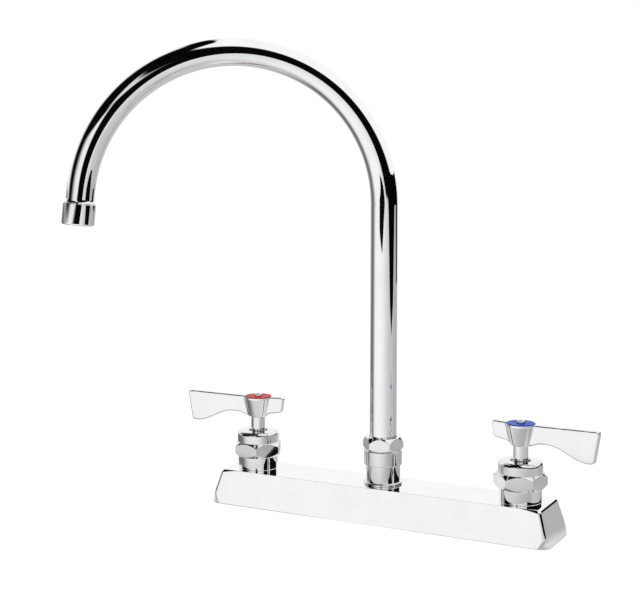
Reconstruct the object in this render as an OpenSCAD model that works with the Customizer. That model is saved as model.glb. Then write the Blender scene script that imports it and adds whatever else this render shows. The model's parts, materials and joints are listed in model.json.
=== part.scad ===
// Two-handle deck mixing tap with a swivel gooseneck spout, in millimetres, +Z up.
// The origin is the middle of the deck face, midway between the two inlets.
// The hot valve is at -X, the cold valve is at +X, and the user stands at -Y.

/* [Deck body] */
// Distance between the hot and the cold valve axes
inlet_spacing = 203.2; // [160:0.1:240]
// Flat top beyond each valve axis, along the body
end_margin = 20.2; // [17:0.1:30]
// Width of the flat top
base_top_w = 38.5; // [34:0.1:48]
// How far each end leans out from the top to the foot
end_draft = 7.2; // [2:0.1:10]
// How far the front and the back lean out from the top to the foot
side_draft = 4.4; // [1:0.1:8]
// Radius of the upright corners at the top, seen from above
corner_top_r = 2.2; // [1:0.1:6]
// Radius of the upright corners at the foot, seen from above
corner_foot_r = 8; // [1:0.1:10]
// Radius of the upright corners inside the hollow
core_r = 5; // [0.5:0.1:8]
// Rounding of the edge round the flat top
edge_r = 0.8; // [0.5:0.1:2]
// Wall of the hollow casting
wall = 3; // [2:0.1:4]
// Diameter of the pillar under the spout
pillar_d = 25; // [22:0.1:30]

/* [Waterways] */
// Bore of each inlet thread, at its crests
inlet_bore = 18.9; // [14:0.1:21]
// Depth of each inlet thread
inlet_depth = 11; // [8:0.1:16]
// Thickness of the web that carries the valve seat
seat_web = 2; // [1.5:0.1:4]
// Bore of the port through the seat web
port_d = 8; // [5:0.1:9]
// Bore of the cross passage
passage_d = 8.5; // [6:0.1:10]
// Wall of the cross passage
passage_wall = 2; // [1.5:0.1:2.6]
// Step from the valve seat up to the cross passage
passage_sill = 0.25; // [0.1:0.05:2]
// Metal between the cross passage and the flat top
passage_cover = 2.85; // [2.7:0.05:5]

/* [Valve cartridge] */
// Diameter of the ceramic discs
disc_d = 15; // [12:0.1:18]
// Thickness of the fixed ceramic disc
fixed_disc_t = 3; // [2:0.1:4]
// Thickness of the moving ceramic disc
moving_disc_t = 2.6; // [2:0.1:4]
// Bore of the two water holes in each disc
disc_hole_d = 4; // [2:0.1:4.4]
// Distance from the valve axis to each water hole
disc_hole_at = 4.2; // [3.4:0.1:4.6]
// Thickness of the rubber seat seal
seat_seal_t = 2; // [1:0.1:3]
// Radial width of the rubber seat seal
seat_seal_w = 2.4; // [1.5:0.1:3]
// Wall of the cartridge cage
cage_wall = 1.6; // [1:0.1:2.5]
// Width of the two water windows in the cage
window_w = 7; // [4:0.1:9]
// Water gap between the cage and the boss
water_gap = 2.2; // [1:0.1:4]
// Diameter of the stem
stem_d = 10.2; // [8:0.1:12]
// Shoulder of the stem outside the corners of its square drive
drive_shoulder = 0.3; // [0.1:0.05:0.6]
// Height of the driver bar on the foot of the stem
driver_h = 5.3; // [4.5:0.1:8]
// Width of the driver bar
driver_w = 6; // [5:0.1:8]
// Width of the driver's tongue
tongue_w = 3; // [2:0.1:4]
// Height of the driver's tongue
tongue_h = 0.8; // [0.4:0.1:1.4]
// Depth to which the cage enters the bonnet
cage_grip = 2; // [1:0.1:2.6]

/* [Bonnet] */
// Wall of the boss around the cartridge
boss_wall = 3.05; // [2:0.05:5]
// Height of the boss above the flat top
boss_rise = 9.2; // [6:0.1:16]
// Hexagon of the bonnet, across its flats
bonnet_hex = 31.75; // [29:0.05:36]
// Height of the bonnet's hexagon
bonnet_hex_h = 10.2; // [7:0.1:14]
// Diameter of the round cap above the hexagon
cap_d = 30.2; // [26:0.1:31]
// Height of the round cap
cap_h = 8; // [6:0.1:12]
// Rounding of the cap's shoulder
cap_r = 3; // [1:0.1:4]
// How far the hot bonnet's flats turned past the front when it was tightened
hot_bonnet_turn = -2; // [-30:1:30]
// How far the cold bonnet's flats turned past the front when it was tightened
cold_bonnet_turn = 16; // [-30:1:30]
// Depth of the well for the stem clip in the top of the cap
clip_well_depth = 1.6; // [1.4:0.1:3]
// Radial width of the stem clip
clip_w = 1.8; // [1:0.1:2.5]
// Thickness of the stem clip
clip_t = 0.8; // [0.5:0.1:1]
// Opening of the stem clip, as an angle
clip_gap = 70; // [40:1:110]

/* [Seals] */
// Width of the rubber rings, along their axis
ring_w = 1.8; // [1.2:0.1:2.4]
// Radial depth of the rubber rings
ring_depth = 1.35; // [0.9:0.05:1.8]
// Height of the lowest stem ring above the stem's thrust face
stem_ring_at = 5; // [3:0.1:8]
// Distance between the two stem rings
stem_ring_pitch = 6; // [4:0.1:9]
// Depth of the bonnet ring below the top of the boss
bonnet_ring_at = 2; // [1:0.1:4]

/* [Lever handle] */
// Bare stem between the cap and the lever's hub
neck_show = 10.5; // [6:0.1:16]
// Height of the lever's hub
hub_h = 14.3; // [11:0.1:20]
// Diameter of the hub at its top
hub_top_d = 20; // [17:0.1:24]
// Step from the stem out to the hub's foot
hub_foot_step = 1.1; // [0.5:0.1:3]
// Height of the straight rim round the top of the hub
hub_rim_h = 1.3; // [0.8:0.1:3]
// How far the closed lever points towards the user, out of line with the body
lever_turn = 6; // [0:0.5:15]
// Reach of the blade from the valve axis
blade_reach = 56.5; // [45:0.5:80]
// Thickness of the blade
blade_t = 5; // [3:0.1:7]
// Rise of the blade's top edge towards its tip
blade_rise = 1.3; // [0:0.1:4]
// Height of the blade at its tip
tip_h = 22; // [17:0.1:28]
// How far the tip slants back towards its foot
tip_lean = 3.8; // [0:0.1:8]
// Length of the blade's low belly before the tip
belly_l = 4; // [2:0.1:10]
// Height of the blade at its waist
waist_h = 11.8; // [8:0.1:13]
// Distance from the valve axis to the waist's outer end
waist_out = 20; // [18:0.1:26]
// Distance from the valve axis to the waist's inner end
waist_in = 16.5; // [13:0.1:17.5]
// Rounding of the tip's upper corner
tip_top_r = 2; // [0.5:0.1:4]
// Rounding of the tip's lower corner
tip_foot_r = 3.5; // [1:0.1:4]
// Reach of the short stub opposite the blade
stub_reach = 20.8; // [15:0.1:30]
// Height of the stub at its end
stub_h = 11; // [7:0.1:13]
// How far the stub's end slants back towards its foot
stub_lean = 1.6; // [0:0.1:3]
// Rounding of the stub's corners
stub_r = 1.8; // [0.5:0.1:3]

/* [Index and screw] */
// Depth of the index ring's seat in the hub
index_recess = 0.6; // [0.3:0.1:1.2]
// Thickness of the index ring
index_t = 1.3; // [0.8:0.1:2]
// Metal between the index seat and the stem's socket
hub_web = 2; // [1.5:0.1:4]
// Diameter of the handle screw
screw_d = 4; // [3:0.1:4.6]
// Length of the handle screw under its head
screw_l = 10; // [7:0.1:12]
// Diameter of the screw's head
screw_head_d = 5.6; // [5:0.1:11]
// Height of the screw's head
screw_head_h = 2.9; // [1.6:0.1:3.2]
// Width of the cross slot in the screw's head
slot_w = 0.8; // [0.6:0.1:1.6]
// Depth of the cross slot in the screw's head
slot_depth = 1.2; // [0.6:0.1:1.4]

/* [Spout post and nut] */
// Diameter of the post
post_d = 24.3; // [23.4:0.1:26]
// Height of the post between its flange and its thread
post_body_h = 12.2; // [8:0.1:20]
// Step from the post out to its flange
post_flange_step = 1.55; // [0.8:0.05:3]
// Thickness of the post's flange
post_flange_t = 1.5; // [1.2:0.1:3]
// Length of the threaded shank screwed into the body
post_shank_l = 6.6; // [5:0.1:8]
// Bore of the water way through the post
post_bore = 12; // [9:0.1:14]
// Wall of the post's shank
post_shank_wall = 2.8; // [2:0.1:4]
// Length of the post's thread under the nut
post_thread_h = 11.7; // [9:0.1:18]
// Diameter of the post's thread under the nut
post_thread_d = 23; // [22:0.1:23.2]
// Wall of the nut's skirt
skirt_wall = 1.85; // [1.2:0.05:3]
// Height of the nut's skirt
skirt_h = 10; // [5:0.1:11]
// Hexagon of the nut, across its flats
nut_hex = 25.4; // [25.2:0.1:34]
// How far the nut's hexagon is turned as tightened
nut_turn = 13; // [-30:1:30]
// Metal over the swivel collar at the top of the nut
nut_web = 3.3; // [2:0.1:6]

/* [Gooseneck] */
// Outside diameter of the tube
tube_d = 19.05; // [16:0.05:20]
// Wall of the tube
tube_wall = 1; // [0.8:0.05:2]
// Straight tube between the nut and the bend
riser_l = 163.5; // [60:0.5:300]
// Radius of the bend, to the middle of the tube
arch_r = 105; // [60:0.5:160]
// Angle through which the tube is bent
bend = 174.5; // [150:0.5:180]
// How far the bending draws in the tube's radius
bend_draw = 0.05; // [0.03:0.01:0.2]
// Straight tube after the bend, down to the outlet's flare
tail_l = 4.2; // [2:0.1:30]
// How far the spout is swung forward from pointing at the hot side
spout_turn = 39; // [0:1:180]
// Diameter of the swivel spigot inside the post
spigot_d = 15.9; // [13:0.1:17]
// Length of the swivel spigot
spigot_l = 19; // [15:0.1:22]
// Bore through the swivel ferrule
ferrule_bore = 10; // [8:0.1:12]
// Length of the ferrule inside the tube
ferrule_plug_l = 10; // [5:0.1:20]
// Thickness of the swivel collar
collar_t = 3; // [2:0.1:5]
// Thickness of each swivel washer
washer_t = 0.8; // [0.5:0.1:1.5]
// Height of the lower spigot ring above the spigot's foot
spigot_ring_at = 5; // [3:0.1:7]
// Distance between the two spigot rings
spigot_ring_pitch = 6; // [4:0.1:8]

/* [Aerator] */
// Height of the outlet's flare
flare_h = 3; // [1:0.1:6]
// Step from the tube out to the flare's rim
flare_step = 1; // [0.5:0.1:2]
// Thickness of the flare's rim
rim_t = 0.5; // [0.4:0.1:2]
// Wall of the outlet's thread around the tube
outlet_wall = 0.55; // [0.4:0.05:2]
// Length of the outlet's thread
outlet_thread_l = 7.3; // [5:0.1:12]
// Depth to which the tube enters the outlet's thread
tube_grip = 4.5; // [2:0.1:4.8]
// Height of the aerator's housing
aerator_h = 14.4; // [13.8:0.1:24]
// Wall of the aerator's housing
aerator_wall = 0.9; // [0.7:0.05:2]
// Rounding of the housing's lower edge
aerator_r = 1.4; // [0.3:0.1:1.6]
// Height of the lip that holds the aerator's insert
lip_h = 1.4; // [1:0.1:2.5]
// Radial width of that lip
lip_w = 1.5; // [0.8:0.1:2.5]
// Thickness of the aerator's rubber washer
aerator_washer_t = 1.5; // [1:0.1:2.5]
// Radial width of the aerator's rubber washer
aerator_washer_w = 2.2; // [1.2:0.1:3]
// Thickness of each screen
screen_t = 0.4; // [0.3:0.05:0.8]
// Bore of the holes in the screens
screen_hole_d = 1.3; // [0.8:0.1:1.5]
// Distance between the rows of holes in the screens
screen_pitch = 2; // [1.9:0.1:3]
// Rings of holes in the screens, around the middle one
screen_rings = 3; // [1:1:3]
// Wall of the aerator's insert
insert_wall = 1.2; // [0.8:0.1:2]
// Thickness of the ribs across the aerator's insert
insert_rib = 1; // [0.6:0.1:2]

/* [Fits] */
// Radial clearance of a turning fit
run_clear = 0.05; // [0.02:0.01:0.1]
// Radial clearance of a thread or a push fit
seat_clear = 0.1; // [0.05:0.01:0.2]
// Clearance of the stem's square drive, on each side
drive_clear = 0.05; // [0.02:0.01:0.1]
// Film between two faces that turn on each other
film = 0.04; // [0.02:0.01:0.1]
// Radial gap between the turning tube and the nut
tube_gap = 0.3; // [0.2:0.05:0.6]

/* [Hidden] */
$fn = 96;

// Overcut that lets a cutting shape pass through a face
cut = 1;
// Thickness of the slices that a drafted block is drawn over
slice_t = 0.01;
// Least radius of an upright corner where the top edge is rounded
least_r = 0.2;
// Sides of the rounded corners in a drafted block
corner_sides = 32;
// Angle by which the bend reaches into the straight tube at both ends
bend_lap = 0.5;
// Steps in a rounded outline
arc_steps = 6;
// Slope of the chamfers on the hexagons, as rise over run
hex_slope = 1;
// How far the hexagons' chamfers come inside the flats at the top
hex_chamfer = 0.3;

// Heights in the deck body
seat_z = inlet_depth + seat_web;
passage_z = seat_z + passage_sill + passage_d / 2;
base_h = passage_z + passage_d / 2 + passage_cover;
boss_top = base_h + boss_rise;

// Plan sizes of the deck body
base_top_l = inlet_spacing + 2 * end_margin;
valve_x = inlet_spacing / 2;
cage_r = disc_d / 2 + seat_clear + cage_wall;
chamber_r = cage_r + water_gap;
boss_r = chamber_r + boss_wall;

// Heights in the valve cartridge
fixed_disc_z = seat_z + seat_seal_t;
moving_disc_z = fixed_disc_z + fixed_disc_t + film;
driver_z = moving_disc_z + moving_disc_t;
thrust_z = driver_z + driver_h + film;
shank_z = thrust_z - cage_grip;
hex_top = boss_top + bonnet_hex_h;
cap_top = hex_top + cap_h;
clip_z = cap_top - clip_well_depth + (clip_well_depth - clip_t) / 2;
hub_z = cap_top + neck_show;
hub_top = hub_z + hub_h;
index_z = hub_top - index_recess;
drive_top = index_z - hub_web;

// Sizes of the stem and the hub
stem_r = stem_d / 2;
shank_r = chamber_r - seat_clear;
drive_w = (stem_d - 2 * drive_shoulder) / sqrt(2);
hub_foot_r = stem_r + hub_foot_step;
hub_r = hub_top_d / 2;

// Heights in the spout's swivel
post_shoulder_z = base_h + post_flange_t + post_body_h;
post_top = post_shoulder_z + post_thread_h;
collar_z = post_top + washer_t + film;
tube_z = collar_z + collar_t;
nut_seat_z = tube_z + film + washer_t;
nut_top = nut_seat_z + nut_web;
skirt_top = post_shoulder_z + film + skirt_h;
arch_z = nut_top + riser_l;

// Radii in the spout's swivel
shank_bore_r = post_bore / 2;
post_shank_r = shank_bore_r + post_shank_wall;
spigot_r = spigot_d / 2;
post_thread_r = post_thread_d / 2;
nut_bore_r = post_thread_r + seat_clear;
skirt_r = nut_bore_r + skirt_wall;
collar_r = post_thread_r - tube_gap;
tube_r = tube_d / 2;
tube_inner_r = tube_r - tube_wall;

// Sizes of the outlet, in its own frame, with the end of the bend at zero and the water going down
lean = 180 - bend;
rim_z = -tail_l - flare_h;
thread_z = rim_z - rim_t;
thread_end_z = thread_z - outlet_thread_l;
outlet_r = tube_r + outlet_wall;
housing_bore_r = outlet_r + seat_clear;
housing_r = housing_bore_r + aerator_wall;
washer_end_z = thread_end_z - aerator_washer_t;
housing_end_z = thread_z - aerator_h;
insert_end_z = housing_end_z + lip_h;
outlet_bore_r = tube_inner_r;
screen_r = housing_bore_r - seat_clear - insert_wall;

// Length of the deck body at a height
function base_l(z) = base_top_l + 2 * end_draft * (1 - z / base_h);

// Width of the deck body at a height
function base_w(z) = base_top_w + 2 * side_draft * (1 - z / base_h);

// Radius of the deck body's upright corners at a height
function corner_r(z) = corner_top_r + (corner_foot_r - corner_top_r) * (1 - z / base_h);

// Unit vector along v
function unit(v) = v / norm(v);

// Points of an arc of radius r that rounds the corner b between a and c
function rounded(a, b, c, r) =
    let (
        u = unit(a - b),
        v = unit(c - b),
        half = acos(u * v) / 2,
        m = b + unit(u + v) * r / sin(half),
        s = b + u * r / tan(half) - m,
        e = b + v * r / tan(half) - m,
        from = atan2(s.y, s.x),
        turn = (atan2(e.y, e.x) - from + 540) % 360 - 180
    )
    [for (i = [0:arc_steps]) m + r * [cos(from + turn * i / arc_steps), sin(from + turn * i / arc_steps)]];

// Points of a smooth step from a to b, level at both ends
function eased(a, b) =
    let (n = 2 * arc_steps)
    [for (i = [0:n]) [a.x + (b.x - a.x) * i / n, a.y + (b.y - a.y) * (1 - cos(180 * i / n)) / 2]];

// Upright ring from z to z + h
module ring(r_in, r_out, z, h) {
    translate([0, 0, z])
        difference() {
            cylinder(h = h, r = r_out);
            translate([0, 0, -cut])
                cylinder(h = h + 2 * cut, r = r_in);
        }
}

// Upright rod from z to z + h
module rod(r, z, h) {
    translate([0, 0, z])
        cylinder(h = h, r = r);
}

// Rubber ring seated against the radius r_in
module seal_ring(r_in, z, w, depth) {
    edge = min(w, depth) / 4;
    translate([0, 0, z])
        rotate_extrude()
            translate([r_in, 0])
                polygon([
                    [0, edge], [edge, 0], [depth - edge, 0], [depth, edge],
                    [depth, w - edge], [depth - edge, w], [edge, w], [0, w - edge]
                ]);
}

// Hexagonal prism with chamfered corners on top and underneath
module hexagon(flats, z, h) {
    corner = flats / sqrt(3);
    flat_r = flats / 2 - hex_chamfer;
    drop = (corner - flat_r) * hex_slope;
    intersection() {
        translate([0, 0, z])
            cylinder(h = h, r = corner, $fn = 6);
        rotate_extrude()
            polygon([
                [0, z], [flat_r, z], [corner, z + drop],
                [corner, z + h - drop], [flat_r, z + h], [0, z + h]
            ]);
    }
}

// Draws its children at the hot valve
module at_hot() {
    translate([-valve_x, 0, 0])
        children();
}

// Draws its children at the cold valve
module at_cold() {
    translate([valve_x, 0, 0])
        children();
}

// Draws its children in the upright plane of the gooseneck, with +X along the spout
module along_spout() {
    translate([0, 0, arch_z])
        rotate([0, 0, 180 + spout_turn])
            children();
}

// Draws its children at the end of the bend, with -Z along the water
module at_outlet() {
    along_spout()
        translate([arch_r * (1 + cos(lean)), 0, arch_r * sin(lean)])
            rotate([0, -lean, 0])
                children();
}

// One slice of the drafted block, drawn in by inset, with corners of radius r
module base_slice(z, inset, r) {
    for (sx = [-1, 1], sy = [-1, 1])
        translate([sx * (base_l(z) / 2 - inset - r), sy * (base_w(z) / 2 - inset - r), z])
            cylinder(h = slice_t, r = r, $fn = corner_sides);
}

// Outside of the deck body, with drafted sides and a rounded top edge
module base_block() {
    hull() {
        base_slice(0, 0, corner_r(0));
        for (i = [0:arc_steps]) {
            inset = edge_r * (1 - cos(90 * i / arc_steps));
            base_slice(
                base_h - slice_t - edge_r * (1 - sin(90 * i / arc_steps)),
                inset,
                max(corner_r(base_h) - inset, least_r)
            );
        }
    }
}

// Hollow under the deck body
module base_hollow() {
    hull() {
        base_slice(-cut, wall, core_r);
        base_slice(base_h - wall, wall, core_r);
    }
}

// Hollow cast body with a boss for each valve, a pillar under the spout and a cross passage
module deck_body() {
    color("gainsboro")
        difference() {
            union() {
                difference() {
                    base_block();
                    base_hollow();
                }
                at_hot()
                    rod(boss_r, 0, boss_top);
                at_cold()
                    rod(boss_r, 0, boss_top);
                rod(pillar_d / 2, 0, base_h - slice_t);
                translate([-valve_x, 0, passage_z])
                    rotate([0, 90, 0])
                        cylinder(h = inlet_spacing, r = passage_d / 2 + passage_wall);
            }
            at_hot()
                valve_bores();
            at_cold()
                valve_bores();
            rod(post_shank_r + seat_clear, seat_z, base_h);
            translate([-valve_x, 0, passage_z])
                rotate([0, 90, 0])
                    cylinder(h = inlet_spacing, r = passage_d / 2);
        }
}

// Inlet, seat port and valve chamber of one boss
module valve_bores() {
    rod(inlet_bore / 2, -cut, inlet_depth + cut);
    rod(port_d / 2, inlet_depth - cut, seat_web + 2 * cut);
    rod(chamber_r, seat_z, boss_top);
}

// Bonnet with its hexagon, round cap and threaded shank
module bonnet(turn) {
    color("silver")
        rotate([0, 0, turn])
            difference() {
                union() {
                    rod(shank_r, shank_z, boss_top - shank_z);
                    hexagon(bonnet_hex, boss_top, bonnet_hex_h);
                    rotate_extrude()
                        polygon(concat(
                            [[0, hex_top - hex_chamfer], [cap_d / 2, hex_top - hex_chamfer]],
                            rounded([cap_d / 2, hex_top], [cap_d / 2, cap_top], [0, cap_top], cap_r),
                            [[0, cap_top]]
                        ));
                }
                rod(stem_r + run_clear, shank_z, cap_top);
                rod(cage_r + seat_clear, shank_z - cut, cage_grip + cut);
                rod(stem_r + clip_w, cap_top - clip_well_depth, clip_well_depth + cut);
                ring(shank_r - ring_depth, chamber_r + cut, boss_top - bonnet_ring_at - ring_w, ring_w);
            }
}

// Rubber ring that seals the bonnet in its boss
module bonnet_seal() {
    color("dimgray")
        seal_ring(shank_r - ring_depth, boss_top - bonnet_ring_at - ring_w, ring_w, ring_depth);
}

// Cage that holds the ceramic discs, with a water window on each side
module cartridge_cage() {
    color("goldenrod")
        difference() {
            ring(cage_r - cage_wall, cage_r, seat_z, thrust_z - seat_z);
            translate([-chamber_r, -window_w / 2, driver_z])
                cube([2 * chamber_r, window_w, shank_z - driver_z]);
        }
}

// Ceramic disc with two water holes along X
module ceramic_disc(z, t) {
    difference() {
        rod(disc_d / 2, z, t);
        for (s = [-1, 1])
            translate([s * disc_hole_at, 0, 0])
                rod(disc_hole_d / 2, z - cut, t + 2 * cut);
    }
}

// Lower disc, which stays still, with its holes from front to back
module fixed_disc() {
    color("ivory")
        rotate([0, 0, 90])
            ceramic_disc(fixed_disc_z, fixed_disc_t);
}

// Upper disc, which turns with the stem, grooved for the driver's tongue
module moving_disc() {
    color("white")
        difference() {
            ceramic_disc(moving_disc_z, moving_disc_t);
            translate([-tongue_w / 2 - drive_clear, -disc_d, driver_z - tongue_h])
                cube([tongue_w + 2 * drive_clear, 2 * disc_d, tongue_h + cut]);
        }
}

// Rubber seal between the valve seat and the fixed disc
module seat_seal() {
    color("dimgray")
        ring(disc_d / 2 - seat_seal_w, disc_d / 2, seat_z, seat_seal_t);
}

// Stem with a driver bar at its foot, two ring grooves, a clip groove and a square drive
module stem() {
    reach = disc_d / 2 - seat_clear;
    color("silver")
        difference() {
            union() {
                intersection() {
                    rod(reach, driver_z, driver_h);
                    translate([-driver_w / 2, -reach, driver_z])
                        cube([driver_w, 2 * reach, driver_h]);
                }
                intersection() {
                    rod(reach, driver_z - tongue_h, tongue_h + cut);
                    translate([-tongue_w / 2, -reach, driver_z - tongue_h])
                        cube([tongue_w, 2 * reach, tongue_h + cut]);
                }
                rod(stem_r, driver_z + driver_h - cut, hub_z - driver_z - driver_h + cut);
                translate([-drive_w / 2, -drive_w / 2, hub_z - cut])
                    cube([drive_w, drive_w, drive_top - hub_z + cut]);
            }
            for (z = stem_ring_heights())
                ring(stem_r - ring_depth, stem_r + cut, z, ring_w);
            ring(stem_r - clip_w / 2, stem_r + cut, clip_z - film, clip_t + 2 * film);
            rod(screw_d / 2 + run_clear, index_z - screw_l - cut, screw_l + cut);
        }
}

// Heights of the two rings on a stem
function stem_ring_heights() = [for (i = [0, 1]) thrust_z + stem_ring_at + i * stem_ring_pitch];

// Two rubber rings on a stem
module stem_rings() {
    color("dimgray")
        for (z = stem_ring_heights())
            seal_ring(stem_r - ring_depth, z, ring_w, ring_depth);
}

// Spring clip that keeps the stem in its bonnet, open towards +X
module stem_clip() {
    color("gray")
        difference() {
            ring(stem_r - clip_w / 2, stem_r + clip_w / 2, clip_z, clip_t);
            translate([0, 0, clip_z - cut])
                linear_extrude(clip_t + 2 * cut)
                    polygon([[0, 0], for (s = [-1, 1]) stem_d * [1, s * tan(clip_gap / 2)]]);
        }
}

// Outline of the blade, seen from the front, with the valve axis at zero
function blade_outline() =
    let (
        top = [0, hub_top],
        tip = [blade_reach, hub_top + blade_rise],
        foot = [blade_reach - tip_lean, tip.y - tip_h],
        belly = foot - [belly_l, 0],
        waist = [waist_out, hub_top - waist_h],
        root = [waist_in, hub_top - waist_h]
    )
    concat(
        [[0, hub_z], top],
        rounded(top, tip, foot, tip_top_r),
        rounded(tip, foot, belly, tip_foot_r),
        eased(belly, waist),
        eased(root, [hub_foot_r - hub_foot_step, hub_z])
    );

// Outline of the stub, seen from the front, with the valve axis at zero
function stub_outline() =
    let (
        top = [0, hub_top],
        tip = [-stub_reach, hub_top + blade_rise / 2],
        foot = [stub_lean - stub_reach, tip.y - stub_h],
        root = [-hub_r, hub_top - waist_h]
    )
    concat(
        [[0, hub_z], [hub_foot_step - hub_foot_r, hub_z], root],
        rounded(root, foot, tip, stub_r),
        rounded(foot, tip, top, stub_r),
        [top]
    );

// Lever with its hub, blade and stub, the blade turned from +X
module lever(turn) {
    socket = drive_w + 2 * drive_clear;
    color("gainsboro")
        difference() {
            union() {
                rotate_extrude()
                    polygon([
                        [0, hub_z], [hub_foot_r, hub_z], [hub_r, hub_top - hub_rim_h],
                        [hub_r, hub_top], [0, hub_top]
                    ]);
                rotate([90, 0, turn])
                    linear_extrude(blade_t, center = true)
                        polygon(blade_outline());
                rotate([90, 0, turn])
                    linear_extrude(blade_t, center = true)
                        polygon(stub_outline());
            }
            rod(index_ring_r() + seat_clear, index_z, index_recess + blade_rise + cut);
            translate([-socket / 2, -socket / 2, hub_z - cut])
                cube([socket, socket, drive_top - hub_z + cut]);
            rod(screw_d / 2 + seat_clear, hub_z, hub_h);
        }
}

// Outer radius of the index ring
function index_ring_r() = hub_r - index_recess / 2;

// Coloured ring that marks hot or cold
module index_ring(shade) {
    color(shade)
        ring(screw_head_d / 2 + seat_clear, index_ring_r(), index_z, index_t);
}

// Handle screw with a rounded head and a cross slot
module handle_screw() {
    color("silver")
        difference() {
            union() {
                rod(screw_d / 2, index_z - screw_l, screw_l + cut);
                rotate_extrude()
                    polygon(concat(
                        [[0, index_z], [screw_head_d / 2, index_z]],
                        rounded(
                            [screw_head_d / 2, index_z],
                            [screw_head_d / 2, index_z + screw_head_h],
                            [0, index_z + screw_head_h],
                            screw_head_h / 4
                        ),
                        [[0, index_z + screw_head_h]]
                    ));
            }
            for (turn = [0, 90])
                rotate([0, 0, turn])
                    translate([-screw_head_d / 4, -slot_w / 2, index_z + screw_head_h - slot_depth])
                        cube([screw_head_d / 2, slot_w, slot_depth + cut]);
        }
}

// Post that carries the spout, screwed into the body
module spout_post() {
    flange_r = post_d / 2 + post_flange_step;
    color("silver")
        difference() {
            union() {
                rod(post_shank_r, base_h - post_shank_l, post_shank_l + cut);
                rod(flange_r, base_h, post_flange_t);
                rod(post_d / 2, base_h, post_shoulder_z - base_h);
                rod(post_thread_r, base_h, post_top - base_h);
            }
            rod(shank_bore_r, base_h - post_shank_l - cut, post_top);
            rod(spigot_r + run_clear, post_top - spigot_l - cut, spigot_l + 2 * cut);
            ring(post_shank_r, post_shank_r + ring_w, base_h - cut, cut + post_flange_t / 2);
        }
}

// Rubber ring between the post's flange and the body
module post_seal() {
    color("dimgray")
        seal_ring(post_shank_r, base_h, post_flange_t / 2, ring_w);
}

// Nut that keeps the spout's collar on the post
module spout_nut() {
    color("silver")
        difference() {
            union() {
                rod(skirt_r, post_shoulder_z + film, skirt_h);
                rotate([0, 0, nut_turn])
                    hexagon(nut_hex, skirt_top, nut_top - skirt_top);
            }
            rod(nut_bore_r, post_shoulder_z, nut_seat_z - post_shoulder_z);
            rod(tube_r + tube_gap, nut_seat_z - cut, nut_web + 2 * cut);
        }
}

// Slip washer between the post and the spout's collar
module lower_swivel_washer() {
    color("whitesmoke")
        ring(spigot_r + seat_clear, collar_r, post_top, washer_t);
}

// Slip washer between the spout's collar and the nut
module upper_swivel_washer() {
    color("whitesmoke")
        ring(tube_r + tube_gap, collar_r, tube_z + film, washer_t);
}

// Rod of radius r along the whole gooseneck, longer by extra at both ends
module gooseneck_path(r, extra) {
    rod(r, tube_z - extra, arch_z - tube_z + extra);
    along_spout()
        translate([arch_r, 0, 0])
            rotate([90, 0, 0])
                rotate([0, 0, lean - bend_lap])
                    rotate_extrude(angle = bend + 2 * bend_lap)
                        translate([arch_r, 0])
                            circle(r = r - bend_draw);
    at_outlet()
        rod(r, thread_z - tube_grip - extra, tube_grip - thread_z + extra);
}

// Bent tube of the spout
module gooseneck() {
    color("gainsboro")
        difference() {
            gooseneck_path(tube_r, 0);
            gooseneck_path(tube_inner_r, cut);
        }
}

// Turned ferrule in the foot of the tube, with the swivel's collar and spigot
module spout_ferrule() {
    color("goldenrod")
        difference() {
            union() {
                rod(tube_inner_r - run_clear, collar_z, collar_t + ferrule_plug_l);
                rod(collar_r, collar_z, collar_t);
                rod(spigot_r, post_top - spigot_l, collar_z - post_top + spigot_l + film);
            }
            rod(ferrule_bore / 2, post_top - spigot_l - cut, spigot_l + collar_t + ferrule_plug_l + 2 * cut + washer_t);
            for (z = spigot_ring_heights())
                ring(spigot_r - ring_depth, spigot_r + cut, z, ring_w);
        }
}

// Heights of the two rings on the spigot
function spigot_ring_heights() =
    [for (i = [0, 1]) post_top - spigot_l + spigot_ring_at + i * spigot_ring_pitch];

// Two rubber rings on the spigot
module spigot_rings() {
    color("dimgray")
        for (z = spigot_ring_heights())
            seal_ring(spigot_r - ring_depth, z, ring_w, ring_depth);
}

// Flared and threaded sleeve on the outlet end of the tube
module outlet_fitting() {
    color("silver")
        at_outlet()
            difference() {
                rotate_extrude()
                    polygon([
                        [0, thread_end_z], [outlet_r, thread_end_z], [outlet_r, thread_z],
                        [tube_r + flare_step, thread_z], [tube_r + flare_step, rim_z],
                        [tube_r + run_clear + slice_t, -tail_l], [0, -tail_l]
                    ]);
                rod(tube_r + run_clear, thread_z - tube_grip, tube_grip - thread_z);
                rod(outlet_bore_r, thread_end_z - cut, outlet_thread_l + cut);
            }
}

// Housing of the aerator, screwed on the outlet
module aerator_housing() {
    color("gainsboro")
        at_outlet()
            difference() {
                rotate_extrude()
                    polygon(concat(
                        [[0, thread_z], [0, housing_end_z]],
                        rounded([0, housing_end_z], [housing_r, housing_end_z], [housing_r, thread_z], aerator_r),
                        [[housing_r, thread_z - hex_chamfer], [housing_r - hex_chamfer, thread_z]]
                    ));
                rod(housing_bore_r, insert_end_z, aerator_h);
                rod(housing_bore_r - lip_w, housing_end_z - cut, lip_h + 2 * cut);
            }
}

// Rubber washer between the outlet and the aerator's insert
module aerator_washer() {
    color("dimgray")
        at_outlet()
            ring(
                housing_bore_r - seat_clear - aerator_washer_w, housing_bore_r - seat_clear,
                washer_end_z, aerator_washer_t
            );
}

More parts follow.
